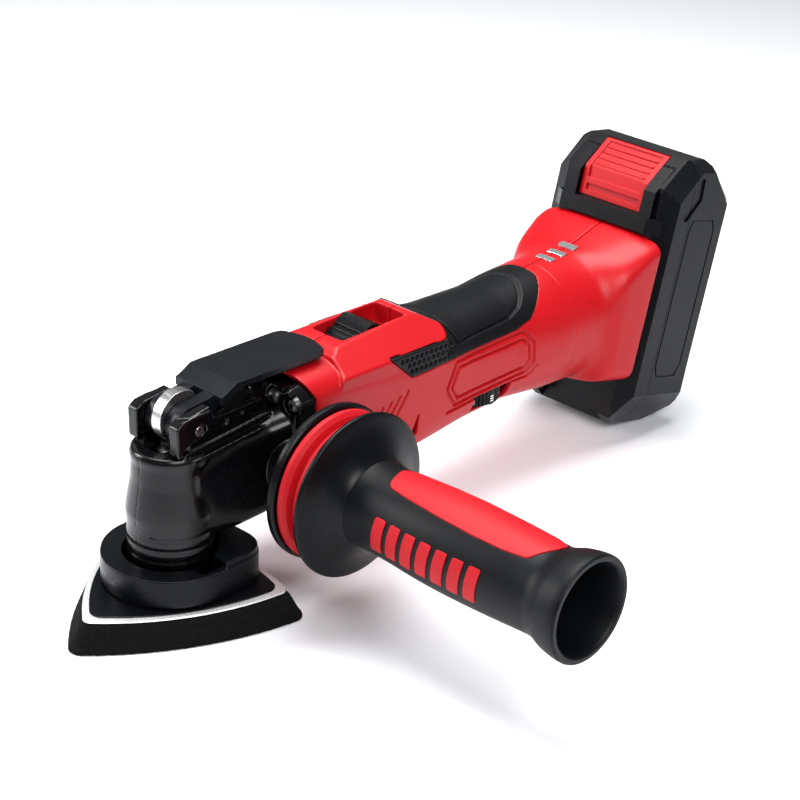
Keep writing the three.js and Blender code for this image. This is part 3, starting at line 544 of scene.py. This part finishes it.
def housing():
    """Both shells in one, hollow, with its seats, slots, screw bosses and grooves."""
    outer = body()
    skin = body(GROOVE_DEPTH, 3)
    grooves = groove(
        strip(rounded(PANEL, 2, 3), 1.5, True)
        + strip(rounded(offset(PANEL, -2.9), 1.6, 3), 1.15, True)
        + strip([(133, 50.6), (186, 52.2), (191, 57)], 1.15)
        + [o for k in range(4) for o in strip([(84 + 5 * k, 54 + k), (93 + 5 * k, 66 + k)], 1.1)],
    )
    ring = [(20, 213), (60, 213), (60, 213.9), (20, 213.9), (20, 213)]
    ring = lathe("x", (0, MOTOR_Z), ring, 96)
    grooves = cut(join(grooves, ring), skin)
    inner = body(WALL, 8)
    x0, x1, half, floor = WELL.values()
    walls = common(box(x0 - 2, x1 + 2, -half - 2, half + 2, floor - 2, 120), copy(outer))
    bosses = [
        common(rod("y", (x, z), 4.4, -60, 60, 32), copy(outer)) for x, z in SHELL_SCREWS
    ]
    shell = join(cut(copy(outer), inner), walls, *bosses)
    seat = common(cut(body(-3), body(RUBBER_DEPTH + 0.15)), grip_prism(SEAM_GAP))
    low, high = DIAL["z"] - DIAL["thick"] / 2 - 0.5, DIAL["z"] + DIAL["thick"] / 2 + 0.5
    cutters = [
        seat,
        grooves,
        box(40, 75.6, -EAR_Y - 1, EAR_Y + 1, 91.7, 120),
        slab("z", rounded([(x0, -half), (x1, -half), (x1, half), (x0, half)], 2.5, 5), floor, 120),
        box(x0 + 7, x1 - 10, -4.4, 4.4, floor - 4, floor + 1),
        rod("z", (DIAL["x"], DIAL["y"]), DIAL["r"] + 0.6, low, high, 64),
        box(DIAL["x"] - 12, DIAL["x"] + 12, -40, DIAL["y"] - 3, low, high),
        slab("y", [(110.5, 47), (114.5, 47), (115.5, 58)], -60, 60),
        rod("x", (0, MOTOR_Z), 21.6, 50, 153.4, 48),
        slab("y", [(0, 0), *SEAM, (0, 130)], -60, 60),
        rod("y", (HANDLE_X, HANDLE_Z), BOSS_R + 0.4, -60, 60, 48),
        box(30, FLANGE_X + GAP, -24, 24, 0, 82),
    ]
    cutters += [box(x - 2.1, x + 2.1, -4.9, 4.9, 80, 110) for x in LIGHTS_X]
    cutters += [shell_screw_hole(x, z) for x, z in SHELL_SCREWS]
    for y, z in FLANGE_SCREWS:
        cutters += [rod("x", (s * y, z), SCREW_R, 40, 70, 16) for s in (-1, 1)]
    bpy.data.objects.remove(outer)
    return cut(shell, *cutters)


red_shell = housing()
for side, (y0, y1) in {"right": (-60, -0.1), "left": (0.1, 60)}.items():
    half_shell = moulded(common(copy(red_shell), box(0, 400, y0, y1, 0, 200)), 0.4, 6)
    finished(half_shell, f"shell_{side}", f"housing_{side}", angle=0)
bpy.data.objects.remove(red_shell)


def overmould():
    """The rubber grip: a dimpled wedge on each flank and a ribbed pad over the top."""
    skin = common(cut(body(-0.35), body(RUBBER_DEPTH)), grip_prism(0))
    panel = rounded([
        (140, 79.2), (178, 80), (186, 82.4), (192, 86), (197.5, 89.6), (199.5, 110), (139.5, 110),
        (139.5, 92),
    ], 2, 3)
    lines = slab("y", panel, -60, 60)
    inside = slab("y", offset(panel, -1.2), -61, 61)
    ridges = [
        slab("y", [(x, 84), (x + 1.1, 84), (x + 3.4, 110), (x + 2.3, 110)], -60, 60)
        for x in (131.6, 134.4)
    ]
    band = cut(join(cut(lines, inside), *ridges), body(0.75))
    dimples = []
    for row, z in enumerate((77.6, 80.6, 83.4)):
        for k in range(14):
            x = 103.5 + 2.9 * k + 1.45 * (row % 2)
            if x > 99 + (86.5 - z) * 1.15 and x < 137:
                dimples += [rod("y", (x, z), 0.95, *side, 12) for side in ((-60, -20), (20, 60))]
    pits = cut(join(dimples[0], *dimples[1:]), body(0.8))
    return cut(skin, band, pits)


finished(moulded(overmould(), 0.36, 2), "grip_pad", "grip_overmould", angle=0)

# ---- Gear head: one casting of neck, arm, ears and flange ----
NECK = [
    (0, 20.5), (15.2, 20.5), (16.6, 22), (17.3, 25), (17.4, 26.8), (17.0, 27.3), (17.0, 28.2),
    (17.5, 28.7), (17.5, 31.3), (17.05, 31.8), (17.05, 32.8), (17.5, 33.3), (17.5, 36),
    (17.1, 36.5), (17.1, 37.4), (17.5, 38), (17.5, 40), (18, 44.5), (17.4, 49), (15.9, 58),
    (15.6, 66), (16.3, 69.2), (15.2, 71.5), (0, 71.5),
]
ARM = np.array([
    [0, 16.6, 42, 60, 6, 8.5, 2.6, 0],
    [8, 17.2, 40, 61, 9, 9.5, 2.6, 0],
    [22, 17.6, 39, 63, 8.5, 11, 2.8, 0],
    [36, 19.5, 41.5, 66, 9, 10, 3, 0],
    [46, 23.6, 50, 70, 13.2, 9, 3, 0],
    [FLANGE_X, 24.6, 50, 74, 13.2, 9, 3, 0],
])
EAR_SIDE = [
    (-10, 66), (-10, 86), (-6, 87.5), (8, 89.3), (10, 84), (14, 83.6), (36, 84.5), (38, 77),
    (47, 77), (47, 66),
]
EAR_PLAN = [
    (-9, -6), (-7, -8), (-2, -EAR_Y), (50, -EAR_Y), (50, EAR_Y), (-2, EAR_Y), (-7, 8), (-9, 6),
]
EAR_CAP = [(-8.6, 71), (-9.2, 85), (-6, 87.3), (7.6, 89), (9.6, 84.4), (9.6, 81), (-4.4, 76)]


def hexagon(y, z, r):
    turns = [k * math.pi / 3 + 0.2 for k in range(6)]
    return [(y + r * math.cos(turn), z + r * math.sin(turn)) for turn in turns]


def casting_extras():
    """Rounded caps on the ears, ribs along both flanks, and faceted lugs round the screws."""
    extras = []
    for s in (-1, 1):
        lo, hi = sorted((s * 9.4, s * (EAR_Y + 1.2)))
        extras.append(slab("y", rounded(EAR_CAP, 1.4, 4), lo, hi))
        lo, hi = sorted((s * (EAR_Y - 1), s * (EAR_Y + 1.3)))
        extras += [slab("y", o, lo, hi) for o in strip([(-4.6, 72.6), (39, 77.2)], 1.5)]
        lo, hi = sorted((s * 12, s * 16.6))
        extras += [slab("y", o, lo, hi) for o in strip([(-1.5, 69.6), (46, 74)], 1.4)]
        for (y, z), r, front in zip(FLANGE_SCREWS, (6, 6.6), (46.2, 44)):
            extras.append(slab("x", hexagon(s * y, z, r), front, FLANGE_X))
        lo, hi = sorted((s * 15, s * 24.4))
        lug = [(44, 66), (44, 84.6), (46, 86.4), (FLANGE_X, 87), (FLANGE_X, 66)]
        extras.append(slab("y", lug, lo, hi))
    return common(
        join(extras[0], *extras[1:]),
        slab("x", section_outline(SECTIONS[0], 1.4), -20, FLANGE_X),
    )


def casting():
    rows = between(ARM, np.arange(0, FLANGE_X + 0.1, 1.25))
    arm = loft([section_ring(row, 0, 24) for row in rows])
    ears = common(slab("y", EAR_SIDE, -EAR_Y, EAR_Y), slab("z", EAR_PLAN, 60, 100))
    keel = slab("y", [(10, 28.4), (22, 28.6), (47, 37), (47, 50), (10, 50)], -5, 5)
    boss = rod("y", (HANDLE_X, HANDLE_Z), BOSS_R, -BOSS_END, BOSS_END, 64)
    extras = casting_extras()
    trunk = moulded(join(lathe("z", (0, 0), NECK, 128), arm, keel), 0.5, 14)
    solid = join(trunk, ears, boss, extras)
    behind = slab("y", [(x - GAP, z) for x, z in SEAM] + [(300, 130), (300, 0)], -60, 60)
    cutters = [
        behind,
        slab("y", [(-30, 71.6), (8, 71.6), (19, 78), (19, 100), (-30, 100)], -EAR_SLOT, EAR_SLOT),
        box(-9, 10.5, -4.6, 4.6, 68, 73),
        box(12, 60, -10, 10, 85.5, 100),
        rod("z", (0, 0), 13.3, 0, 32.3),
        rod("z", (0, 0), 9, 30, 45),
        rod("z", (0, 0), 11.3, 44.7, 60),
        rod("z", (0, 0), 6, 60, 75),
        rod("z", (0, 0), 12.7, 53.6, 69.6),
        box(0, 34, -12.7, 12.7, 53.6, 69.6),
        rod("x", (0, MOTOR_Z), 8, 30, 46),
        rod("x", (0, MOTOR_Z), 11.3, 44.7, 60),
        rod("y", (PIVOT_X, PIVOT_Z), PIN_BORE, -30, 30, 32),
        rod("y", (HANDLE_X, HANDLE_Z), STUD_BORE, -40, -18, 32),
        rod("y", (HANDLE_X, HANDLE_Z), STUD_BORE, 18, 40, 32),
        box(-30, -15, -0.25, 0.25, 19, 70),
    ]
    for s in (-1, 1):
        lo, hi = sorted((s * 12.4, s * 30))
        cutters.append(rod("y", (16.5, 80.2), 1.5, lo, hi, 24))
        cutters.append(rod("y", (25, 81.6), 0.9, lo, hi, 24))
        hole = [
            (0, 30), (SCREW_HEAD_R, 30), (SCREW_HEAD_R, 47), (SCREW_R, 47), (SCREW_R, 60), (0, 60),
        ]
        cutters += [lathe("x", (s * y, z), hole, 32) for y, z in FLANGE_SCREWS]
    return cut(solid, *cutters)


finished(moulded(casting(), 0.36, 4), "gear_casting", "gear_head", angle=0)

SCREW_DOME = [
    (0, 43.8), (1, 43.85), (1.8, 44.1), (2.6, 44.7), (3.1, 45.5), (3.4, 46.7), (1.5, 46.7),
    (1.5, 57.7), (0, 57.7),
]
for row, (y, z) in enumerate(FLANGE_SCREWS, 1):
    for s, side in ((-1, "right"), (1, "left")):
        star = [
            (s * y + r * math.cos(k * math.pi / 6), z + r * math.sin(k * math.pi / 6))
            for k, r in ((k, 1.5 if k % 2 else 0.95) for k in range(12))
        ]
        screw = cut(lathe("x", (s * y, z), SCREW_DOME, 48), slab("x", star, 40, 45.4))
        finished(screw, f"screw_{side}_{row}", f"flange_screw_{side}_{row}")

# ---- Quick-release lever ----
def lever():
    plate = [
        (14.2, -EAR_Y), (66.5, -EAR_Y), (70.2, -12.4), (71.4, -10), (72.6, -6.6), (73.5, -3),
        (73.6, 0), (73.5, 3), (72.6, 6.6), (71.4, 10), (70.2, 12.4), (66.5, EAR_Y), (14.2, EAR_Y),
    ]
    side = [
        (12, 87.6), (17, 87.6), (23, 92.3), (80, 92.3), (80, 95), (22, 95), (16, 91.6), (12, 90.6),
    ]
    arm_side = [(3, 72.4), (12, 77.5), (18, 87), (18, 91.4), (12, 90.1), (3, 89)]
    cover = common(slab("z", plate, 80, 100), slab("y", side, -20, 20))
    parts = []
    for s in (-1, 1):
        lo, hi = sorted((s * 2.9, s * (EAR_SLOT - 0.4)))
        parts += [rod("y", (PIVOT_X, PIVOT_Z), EYE_R, lo, hi, 96), slab("y", arm_side, lo, hi)]
    return cut(join(cover, *parts), rod("y", (PIVOT_X, PIVOT_Z), PIN_BORE, -20, 20, 48))


finished(bevelled(lever(), 0.7, 4), "clamp_lever", "lever")


def cam():
    """Its radius grows evenly over the lever's travel, up to the place under the pivot."""
    outline = []
    for k in range(144):
        angle = 2.5 * k
        rising = min(max((270 - angle) / CAM_TURN, 0), 1.5)
        r = CAM_R + CAM_LIFT * (rising * min(angle / 60, 1) if angle <= 270 else 0)
        turn = math.radians(angle)
        outline.append((PIVOT_X + r * math.cos(turn), PIVOT_Z + r * math.sin(turn)))
    bore = rod("y", (PIVOT_X, PIVOT_Z), PIN_BORE, -20, 20, 48)
    return cut(slab("y", outline, -2.6, 2.6), bore)


finished(bevelled(cam(), 0.35, 3), "clamp_cam", "lever_cam")
PIN_END = EAR_Y + 0.4
pin = lathe("y", (PIVOT_X, PIVOT_Z), [
    (0, -PIN_END), (2.1, -PIN_END), (PIN_R, -EAR_Y), (PIN_R, EAR_Y), (2.1, PIN_END), (0, PIN_END),
], 64)
finished(pin, "pivot_pin", "lever_pin")

# ---- Sanding pad and dust collar ----
def delta(reach, middle, corner, steps=14):
    """A rounded triangle with bowed sides, its first corner towards -X."""
    away = reach - corner
    slack = middle - corner
    back = (away**2 - slack**2) / (2 * slack - away)
    half = math.atan2(away * math.sin(math.pi / 3), back + away / 2)
    points = []
    for k in range(3):
        tip = math.pi + k * 2 * math.pi / 3
        arcs = (
            (away, tip, corner, math.pi / 3 - half),
            (-back, tip + math.pi / 3, middle + back, half),
        )
        for far, way, r, sweep in arcs:
            for i in range(steps):
                angle = way + sweep * (2 * i / steps - 1)
                points.append((
                    far * math.cos(way) + r * math.cos(angle),
                    far * math.sin(way) + r * math.sin(angle),
                ))
    return points


def delta_solid(levels):
    return loft([[(x, y, z) for x, y in delta(*shape)] for *shape, z in levels])


# Each level: reach of the corners, reach of the sides' middles, corner radius, height.
foam = delta_solid([
    (53.7, 36, 6, 0), (54, 36.2, 6, 0.5), (53.8, 36, 6, 1.3), (53.4, 35.7, 5.8, 1.9),
    (52.4, 35.2, 5.6, 3), (50.6, 34, 5, 6), (48.9, 33, 4.4, 9), (47.5, 32.1, 4, 10.5),
    (47.2, 32, 4, 10.9),
])
foam = moulded(cut(foam, rod("z", (0, 0), 11, 2.2, 12)), 0.45, 1)
rough = bpy.data.textures.new("foam_cells", "CLOUDS")
rough.noise_scale = 0.0011
rough.noise_depth = 2
cells = foam.modifiers.new("cells", "DISPLACE")
cells.texture = rough
cells.strength = 0.0005
cells.mid_level = 0.75
place(bake(foam), TURN)
LOWEST = 0.00002  # metres; the cells don't push the lower face through the floor
for v in foam.data.vertices:
    v.co.z = max(v.co.z, LOWEST)
finished(foam, "foam_pad", "pad_foam", angle=0)
plate = cut(slab("z", delta(46.8, 31.6, 3.6), 11.2, 12), rod("z", (0, 0), HUB_BORE, 0, 40))
finished(place(bevelled(plate, 0.2, 2), TURN), "metal_plate", "pad_plate")
base = delta_solid([(42.4, 29.5, 5.5, 12.15), (42.4, 29.5, 5.5, 12.4), (41.6, 29, 5.5, 12.65)])
base = cut(join(base, rod("z", (0, 0), 15, 12.15, 16.5)), rod("z", (0, 0), HUB_BORE, 0, 40))
finished(place(base, TURN), "pad_hub", "pad_base")


def corner_curve(before, corner, after, steps):
    """Points on a curve that leaves one point for a corner and ends at another."""
    a, p, b = Vector(before), Vector(corner), Vector(after)
    shares = [i / steps for i in range(steps + 1)]
    return [tuple(a * (1 - t) ** 2 + p * 2 * t * (1 - t) + b * t**2) for t in shares]


def collar_outline(inset, steps=48):
    """Half round towards -X, and square with wide corners towards +X."""
    r, back, turn = 28 - inset, 28.5 - inset, 14 - inset
    angles = [math.pi / 2 + math.pi * k / steps for k in range(steps + 1)]
    points = [(r * math.cos(angle), r * math.sin(angle)) for angle in angles]
    for side, order in ((-1, 1), (1, -1)):
        before, corner, after = (back - turn, side * r), (back, side * r), (back, side * (r - turn))
        points += corner_curve(before, corner, after, 12)[::order]
    return points


collar = join(
    slab("z", collar_outline(0), 12.9, 25.2),
    common(slab("z", collar_outline(0.6), 24, 27.8), box(5, 40, -40, 40, 0, 60)),
)
collar = cut(
    collar,
    slab("z", collar_outline(4.5), 10, 22),
    rod("z", (0, 0), 19.4, 0, 40, 96),
    box(-5, 5.2, -24.6, -15, 21.6, 30),
)
finished(moulded(collar, 0.4, 5), "dust_ring", "dust_collar", angle=0)

# ---- Top controls ----
slider_side = [
    (90, 86), (90, 87.5), (91.5, 89), (93.6, 91), (96.4, 91.2), (99.6, 94.2), (101.8, 95.4),
    (104.4, 95), (109, 92.4), (113.6, 90), (115, 88.4), (115, 86),
]
slider = slab("y", slider_side, -8.4, 8.4)
slider = join(slider, box(96, 106, -3.8, 3.8, 84, 87))
for ridge in ((91.2, 88.8), (93.3, 89.8), (95.4, 90.8), (97.5, 92.2)):
    slider = join(slider, rod("y", ridge, 0.75, -7.4, 7.4, 16))
finished(bevelled(slider, 0.6, 3), "slide_switch", "switch_slider")

# Groups of teeth round the wheel, parted by plain places that carry one, two or more white marks.
DIAL_GROUPS, GROUP_STEPS, PLAIN_STEPS = 8, 20, 6
rim = []
for k in range(DIAL_GROUPS * GROUP_STEPS):
    step = k % GROUP_STEPS
    r = DIAL["r"] - (0.55 if step >= PLAIN_STEPS and step % 4 in (0, 3) else 0)
    turn = 2 * math.pi * (k + 0.5 - PLAIN_STEPS / 2) / (DIAL_GROUPS * GROUP_STEPS)
    rim.append((DIAL["x"] + r * math.cos(turn), DIAL["y"] + r * math.sin(turn)))
dial = slab("z", rim, DIAL["z"] - 3.5, DIAL["z"] + 3.5)
finished(bevelled(dial, 0.25, 2, 50), "thumb_dial", "speed_dial")
for k in range(DIAL_GROUPS):
    bars = []
    for bar in range(k % 4 + 1):
        low = DIAL["z"] - 2 + 1.15 * bar
        bars.append(box(DIAL["r"] - 0.5, DIAL["r"] + 0.03, -0.95, 0.95, low, low + 0.6))
    turn = Matrix.Rotation(2 * math.pi * k / DIAL_GROUPS, 4, "Z")
    at = Matrix.Translation(Vector((DIAL["x"], DIAL["y"], 0)) * MM)
    marks = place(join(bars[0], *bars[1:]) if len(bars) > 1 else bars[0], at @ turn)
    added(marks, f"dial_mark_{k + 1}", "dial", SLOT["speed_dial"], look=MARK)

for k, x in enumerate(LIGHTS_X, 1):
    outline = [(x - 1.9, -4.7), (x + 1.9, -4.7), (x + 1.9, 4.7), (x - 1.9, 4.7)]
    lens = common(slab("z", rounded(outline, 0.8, 4), 88, 110), body(-0.2))
    finished(bevelled(lens, 0.3, 3), f"lens_{k}", f"light_window_{k}")

# ---- Battery ----
PACK_HALF, PACK_DEPTH, PACK_HIGH, PACK_FRONT = 35.5, 46.6, 97.7, 0.5
HEEL = 36.3
PACK_LOW = -(FOOT_Z - HEEL * math.sin(RAKE)) / math.cos(RAKE)
COVER_SPLIT = 15.2
LATCH_HALF = 18.3
# Across the pack: share of its half width, and how far its front and rear are eased there.
PACK_ACROSS = (
    (-1, 4.6, 3), (-0.9, 2.6, 0), (-0.775, 0, 0), (0.775, 0, 0), (0.9, 2.6, 0), (1, 4.6, 3),
)


def pack_solid():
    """The whole battery before it is hollowed, with its lip and the cheeks beside the latch."""
    rings = []
    for share, front, rear in PACK_ACROSS:
        side = [
            (PACK_FRONT + front, -22), (4.3 + front, -28.5), (9 + front, PACK_LOW),
            (HEEL - rear, PACK_LOW), (PACK_DEPTH - rear, -23.4), (PACK_DEPTH - rear, 81 - rear),
            (26.4, PACK_HIGH - rear), (14.4 + front, 96.9 - front / 2),
            (PACK_FRONT + front, 83 - front), (PACK_FRONT + front, 66),
        ]
        rings.append([(v, share * PACK_HALF, u) for v, u in side])
    face = [
        (-21.8, PACK_LOW - 1), (21.8, PACK_LOW - 1), (22.4, PACK_LOW), (29.7, -23.7), (36, -13.9),
        (36, 92.6), (27, PACK_HIGH + 1), (-27, PACK_HIGH + 1), (-36, 92.6), (-36, -13.9),
        (-29.7, -23.7), (-22.4, PACK_LOW),
    ]
    lip = [(-3.6, -25), (-3.6, 25), (PACK_FRONT + 1, 31), (PACK_FRONT + 1, -31)]
    lip = slab("z", lip, 61.2, 68.5)
    cheek = [(-1.9, 66), (-1.9, 80.5), (8.4, 91.6), (12, 93.6), (12, 66)]
    cheeks = [slab("y", cheek, *sorted((s * 18.7, s * 25.2))) for s in (-1, 1)]
    return join(common(loft(rings), slab("x", face, -10, 60)), lip, *cheeks)


def pack_shell():
    """The battery with its cell bay, rail slot, latch bay and the marks on its sides."""
    cutters = [box(11.4, 42, -32.8, 32.8, -12.4, 63), box(17.2, 42, -32.8, 32.8, 60, 82)]
    cutters += [box(-2, 4.1, -15.4, 15.4, -60, 54.6), box(4, 8.8, -18.4, 18.4, -60, 54.6)]
    bay = [(-8, 68.9), (8.4, 68.9), (8.4, 81), (18.9, 92.6), (18.9, 96.4), (-8, 96.4)]
    cutters.append(slab("y", bay, -LATCH_HALF - GAP, LATCH_HALF + GAP))
    panel = [
        (19, -5.9), (34.5, -5.9), (37.4, 0), (37.4, 66), (34.5, 71), (19, 71), (16.4, 66),
        (16.4, 0),
    ]
    outline = rounded(panel, 1.5, 3)
    inside = offset(outline, -0.9)
    for s in (-1, 1):
        lo, hi = sorted((s * (PACK_HALF - 0.5), s * 40))
        cutters.append(cut(slab("y", outline, lo, hi), slab("y", inside, lo - 1, hi + 1)))
    inset = rounded([(8.5, 71), (13, 69.5), (21.5, 80), (20.5, 90.5), (18, 90), (9, 79.5)], 1, 3)
    for s in (-1, 1):
        lo, hi = sorted((s * (PACK_HALF - 0.9), s * 40))
        cutters.append(slab("y", inset, lo, hi))
    return cut(pack_solid(), *cutters)


pack = pack_shell()
cover = common(copy(pack), box(-50, COVER_SPLIT - 0.12, -100, 100, -100, 200))
finished(place(bevelled(cover, 0.7, 3, 14), LEAN), "pack_cover", "battery_cover")
case = common(pack, box(COVER_SPLIT + 0.12, 200, -100, 100, -100, 200))
finished(place(bevelled(case, 0.7, 3, 14), LEAN), "pack_case", "battery_case")

latch = [
    (0.6, 69.2), (5.6, 69.2), (5.6, 81.6), (15.8, 93.1), (15.8, 96), (13, 96), (0.6, 82.8),
]
latch = slab("y", latch, -LATCH_HALF, LATCH_HALF)
recess = [(-6, 77.6), (1.6, 77.6), (1.6, 83), (12.6, 94.4), (4, 100), (-6, 90)]
window = [
    box(-2, 1.7, -LATCH_HALF + 3, LATCH_HALF - 3, 71.5, 74.5),
    slab("y", recess, -LATCH_HALF + 3, LATCH_HALF - 3),
]
# Ribs stand across the recess, one behind the other up the latch's slope.
RIB = ((-0.8, -1.6), (0.8, -1.6), (0.5, 0.5), (-0.5, 0.5))
ribs = []
along = Vector((12.4, 13.2)).normalized()
across = Vector((-along.y, along.x))
for k in range(4):
    middle = Vector((0.6, 82.8)) + along * (2.6 + 3.6 * k) - across * 0.4
    corners = [tuple(middle + along * a + across * b) for a, b in RIB]
    ribs.append(slab("y", corners, -LATCH_HALF + 3.6, LATCH_HALF - 3.6))
latch = join(cut(latch, *window), *ribs)
finished(place(bevelled(latch, 0.4, 3, 20), LEAN), "pack_latch", "battery_latch")

# ---- Side handle ----
def handle_part(profile, sides=160):
    """A profile of (radius, distance out from the centre plane) turned round the handle's axis."""
    return lathe("y", (HANDLE_X, HANDLE_Z), [(r, -s) for r, s in profile], sides)


disc = handle_part(rounded([
    (STUD_BORE, 38.1), (28.5, 38.1), (32.6, 39.8), (32.6, 42), (31.8, 43), (STUD_BORE, 43),
], 0.7, 4))
finished(disc, "grip_disc", "handle_disc")
bellows = handle_part(rounded([
    (6, 43.3), (30.2, 43.3), (31.3, 44.6), (31.3, 46.4), (29.5, 47.8), (26.5, 48.6), (26.5, 50.2),
    (29.6, 51.4), (30.6, 52.6), (30.6, 53.8), (29.6, 55.2), (6, 55.2),
], 0.8, 3))
finished(bellows, "grip_bellows", "handle_bellows", look=RED_SOFT)

CORE_R, CORE_END = 12.9, 150.3
GRIP_PROFILE = [
    (17.9, 67), (17.6, 73), (17.9, 86), (18.7, 100), (19, 116), (18.6, 136), (17.9, 152),
    (18.1, 158), (20.2, 164), (21.3, 170), (21.4, 173),
]


def flowing(profile, steps=6):
    """A smooth curve through a profile's points."""
    points = []
    for k in range(len(profile) - 1):
        a, b, c, d = (Vector(profile[min(max(k + i, 0), len(profile) - 1)]) for i in (-1, 0, 1, 2))
        for i in range(steps):
            t = i / steps
            square, cube = 2 * a - 5 * b + 4 * c - d, 3 * b - a - 3 * c + d
            p = 0.5 * (2 * b + (c - a) * t + square * t**2 + cube * t**3)
            points.append(tuple(p))
    return points + [profile[-1]]


GUARD_END = 66.88
rim = rounded([(10, 55.5), (33, 55.5), (34.3, 56.6), (34.3, 58.2), (32, 58.9)], 1, 4)[5:-5]
cone = flowing([(32.4, 58.8), (28.6, 60), (25, 61.6), (21.9, 63.5), (19.5, 65.3), (18, GUARD_END)])
guard = handle_part([
    (STUD_BORE, 55.5), *rim, *cone, (CORE_R, GUARD_END), (CORE_R, CORE_END), (0, CORE_END),
    (0, 97), (STUD_BORE, 97), (STUD_BORE, 55.5),
])
finished(guard, "grip_guard", "handle_guard")

INLAY = [  # across the handle, and out along it
    (-8, 80.5), (3.6, 77.5), (9.5, 82), (10, 150), (4.4, 158.6), (-0.4, 157.4), (-9.6, 151),
    (-11, 140), (-11.5, 125), (-11, 108), (-9.8, 94),
]


def inlay_prism(grow):
    outline = rounded(offset(INLAY, grow), 4, 6)
    return slab("z", [(HANDLE_X + across, -out) for across, out in outline], HANDLE_Z, 120)


def grip_core(grow):
    return handle_part([(0, 67), *[(r + grow, s) for r, s in flowing(GRIP_PROFILE)], (0, 173)])


SLEEVE_R, SLEEVE_END = CORE_R + GAP, CORE_END + GAP
sleeve = handle_part([
    (SLEEVE_R, 67), *flowing(GRIP_PROFILE), (21.2, 173.6), (20.8, 173.98), (19.4, 173.98),
    (18.9, 173.8), (18, 172.5), (17.2, 169), (16.6, 166), (16.1, 158), (15.8, SLEEVE_END),
    (SLEEVE_R, SLEEVE_END), (SLEEVE_R, 67),
])
finished(cut(sleeve, cut(inlay_prism(SEAM_GAP), grip_core(-1.35))), "grip_sleeve", "handle_grip")
inlay = common(cut(grip_core(0.4), grip_core(-1.2)), inlay_prism(0))
finished(bevelled(inlay, 0.3, 3, 40), "grip_inlay", "handle_inlay", look=RED_SOFT)
# A row of plain slanted bars stands proud of the sleeve, on the side that faces the pad.
for k in range(7):
    start = 81 + 8 * k
    outline = [(-start, 47.5), (-start - 5.4, 47.5), (-start - 7.4, 62), (-start - 2, 62)]
    ring = cut(grip_core(0.45), grip_core(-0.6))
    bar = common(ring, slab("x", rounded(outline, 0.8, 3), -10, HANDLE_X - 6))
    bar = bevelled(bar, 0.25, 2, 40)
    added(bar, f"grip_bar_{k + 1}", "handle", "red_plastic", look=RED_SOFT)

# ---- The pieces inside keep their CAD shape, with eased edges ----
shown = {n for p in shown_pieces() for n in p.get("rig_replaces", [])}
for name, node in frame["nodes"].items():
    dress(node, LOOKS[SLOT[name]])
    if name in shown:
        continue
    flat = node.modifiers.new("flat", "DECIMATE")
    flat.decimate_type = "DISSOLVE"
    flat.angle_limit = math.radians(1)
    edge = node.modifiers.new("edge", "BEVEL")
    edge.width = 0.15 * MM
    edge.segments = 2
    edge.limit_method = "ANGLE"
    edge.angle_limit = math.radians(40)
    edge.use_clamp_overlap = True

# ---- Floor, light and camera ----
low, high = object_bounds()
floor_z = min(low.z, 0) - 0.0001
bpy.context.scene.view_settings.view_transform = "Standard"
corners = [(-4000, -4000, 0), (4000, -4000, 0), (4000, 4000, 0), (-4000, 4000, 0)]
floor = make(corners, [(0, 1, 2, 3)], "floor")
floor.location.z = floor_z
PALE = material("floor", (0.86, 0.87, 0.9), (0.88, 0.89, 0.92), (0.5, 0.6), (300, 0.02), cloud=2)
dress(floor, PALE)
floor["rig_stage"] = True

world = bpy.data.worlds.new("studio")
bpy.context.scene.world = world
world.use_nodes = True
world.node_tree.nodes["Background"].inputs["Color"].default_value = (0.95, 0.965, 1, 1)
world.node_tree.nodes["Background"].inputs["Strength"].default_value = 0.25


def softbox(name, at, aim, size, watts):
    data = bpy.data.lights.new(name, "AREA")
    data.shape = "RECTANGLE"
    data.size, data.size_y = size
    data.energy = watts
    lamp = bpy.data.objects.new(name, data)
    lamp.location = Vector(at)
    lamp.rotation_euler = (Vector(aim) - Vector(at)).to_track_quat("-Z", "Y").to_euler()
    bpy.context.scene.collection.objects.link(lamp)
    lamp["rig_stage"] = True


middle = (low + high) / 2
softbox("key", (-0.25, -0.75, 0.75), middle, (0.55, 0.45), 8)
softbox("top", (0.2, 0.15, 0.95), middle, (0.8, 0.6), 17)
softbox("side", (-0.55, 0.8, 0.5), middle, (0.3, 0.6), 9)

# The camera looks slightly down, from ahead of the pad and to the right of the tool.
AZIMUTH, ELEVATION, ROLL = math.radians(-47.49), math.radians(25.53), math.radians(2.76)
back = Vector((
    math.sin(AZIMUTH) * math.cos(ELEVATION),
    -math.cos(AZIMUTH) * math.cos(ELEVATION),
    math.sin(ELEVATION),
))
right = Vector((math.cos(AZIMUTH), math.sin(AZIMUTH), 0))
up = back.cross(right)
across = math.cos(ROLL) * right + math.sin(ROLL) * up
upright = -math.sin(ROLL) * right + math.cos(ROLL) * up
camera_data = bpy.data.cameras.new("camera")
camera_data.sensor_width = 36
camera_data.lens = 96.13
camera = bpy.data.objects.new("camera", camera_data)
camera.matrix_world = Matrix.Translation((-0.4850, -0.5641, 0.4475)) @ Matrix(
    (across, upright, back)
).transposed().to_4x4()
bpy.context.scene.collection.objects.link(camera)
bpy.context.scene.camera = camera

low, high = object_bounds()
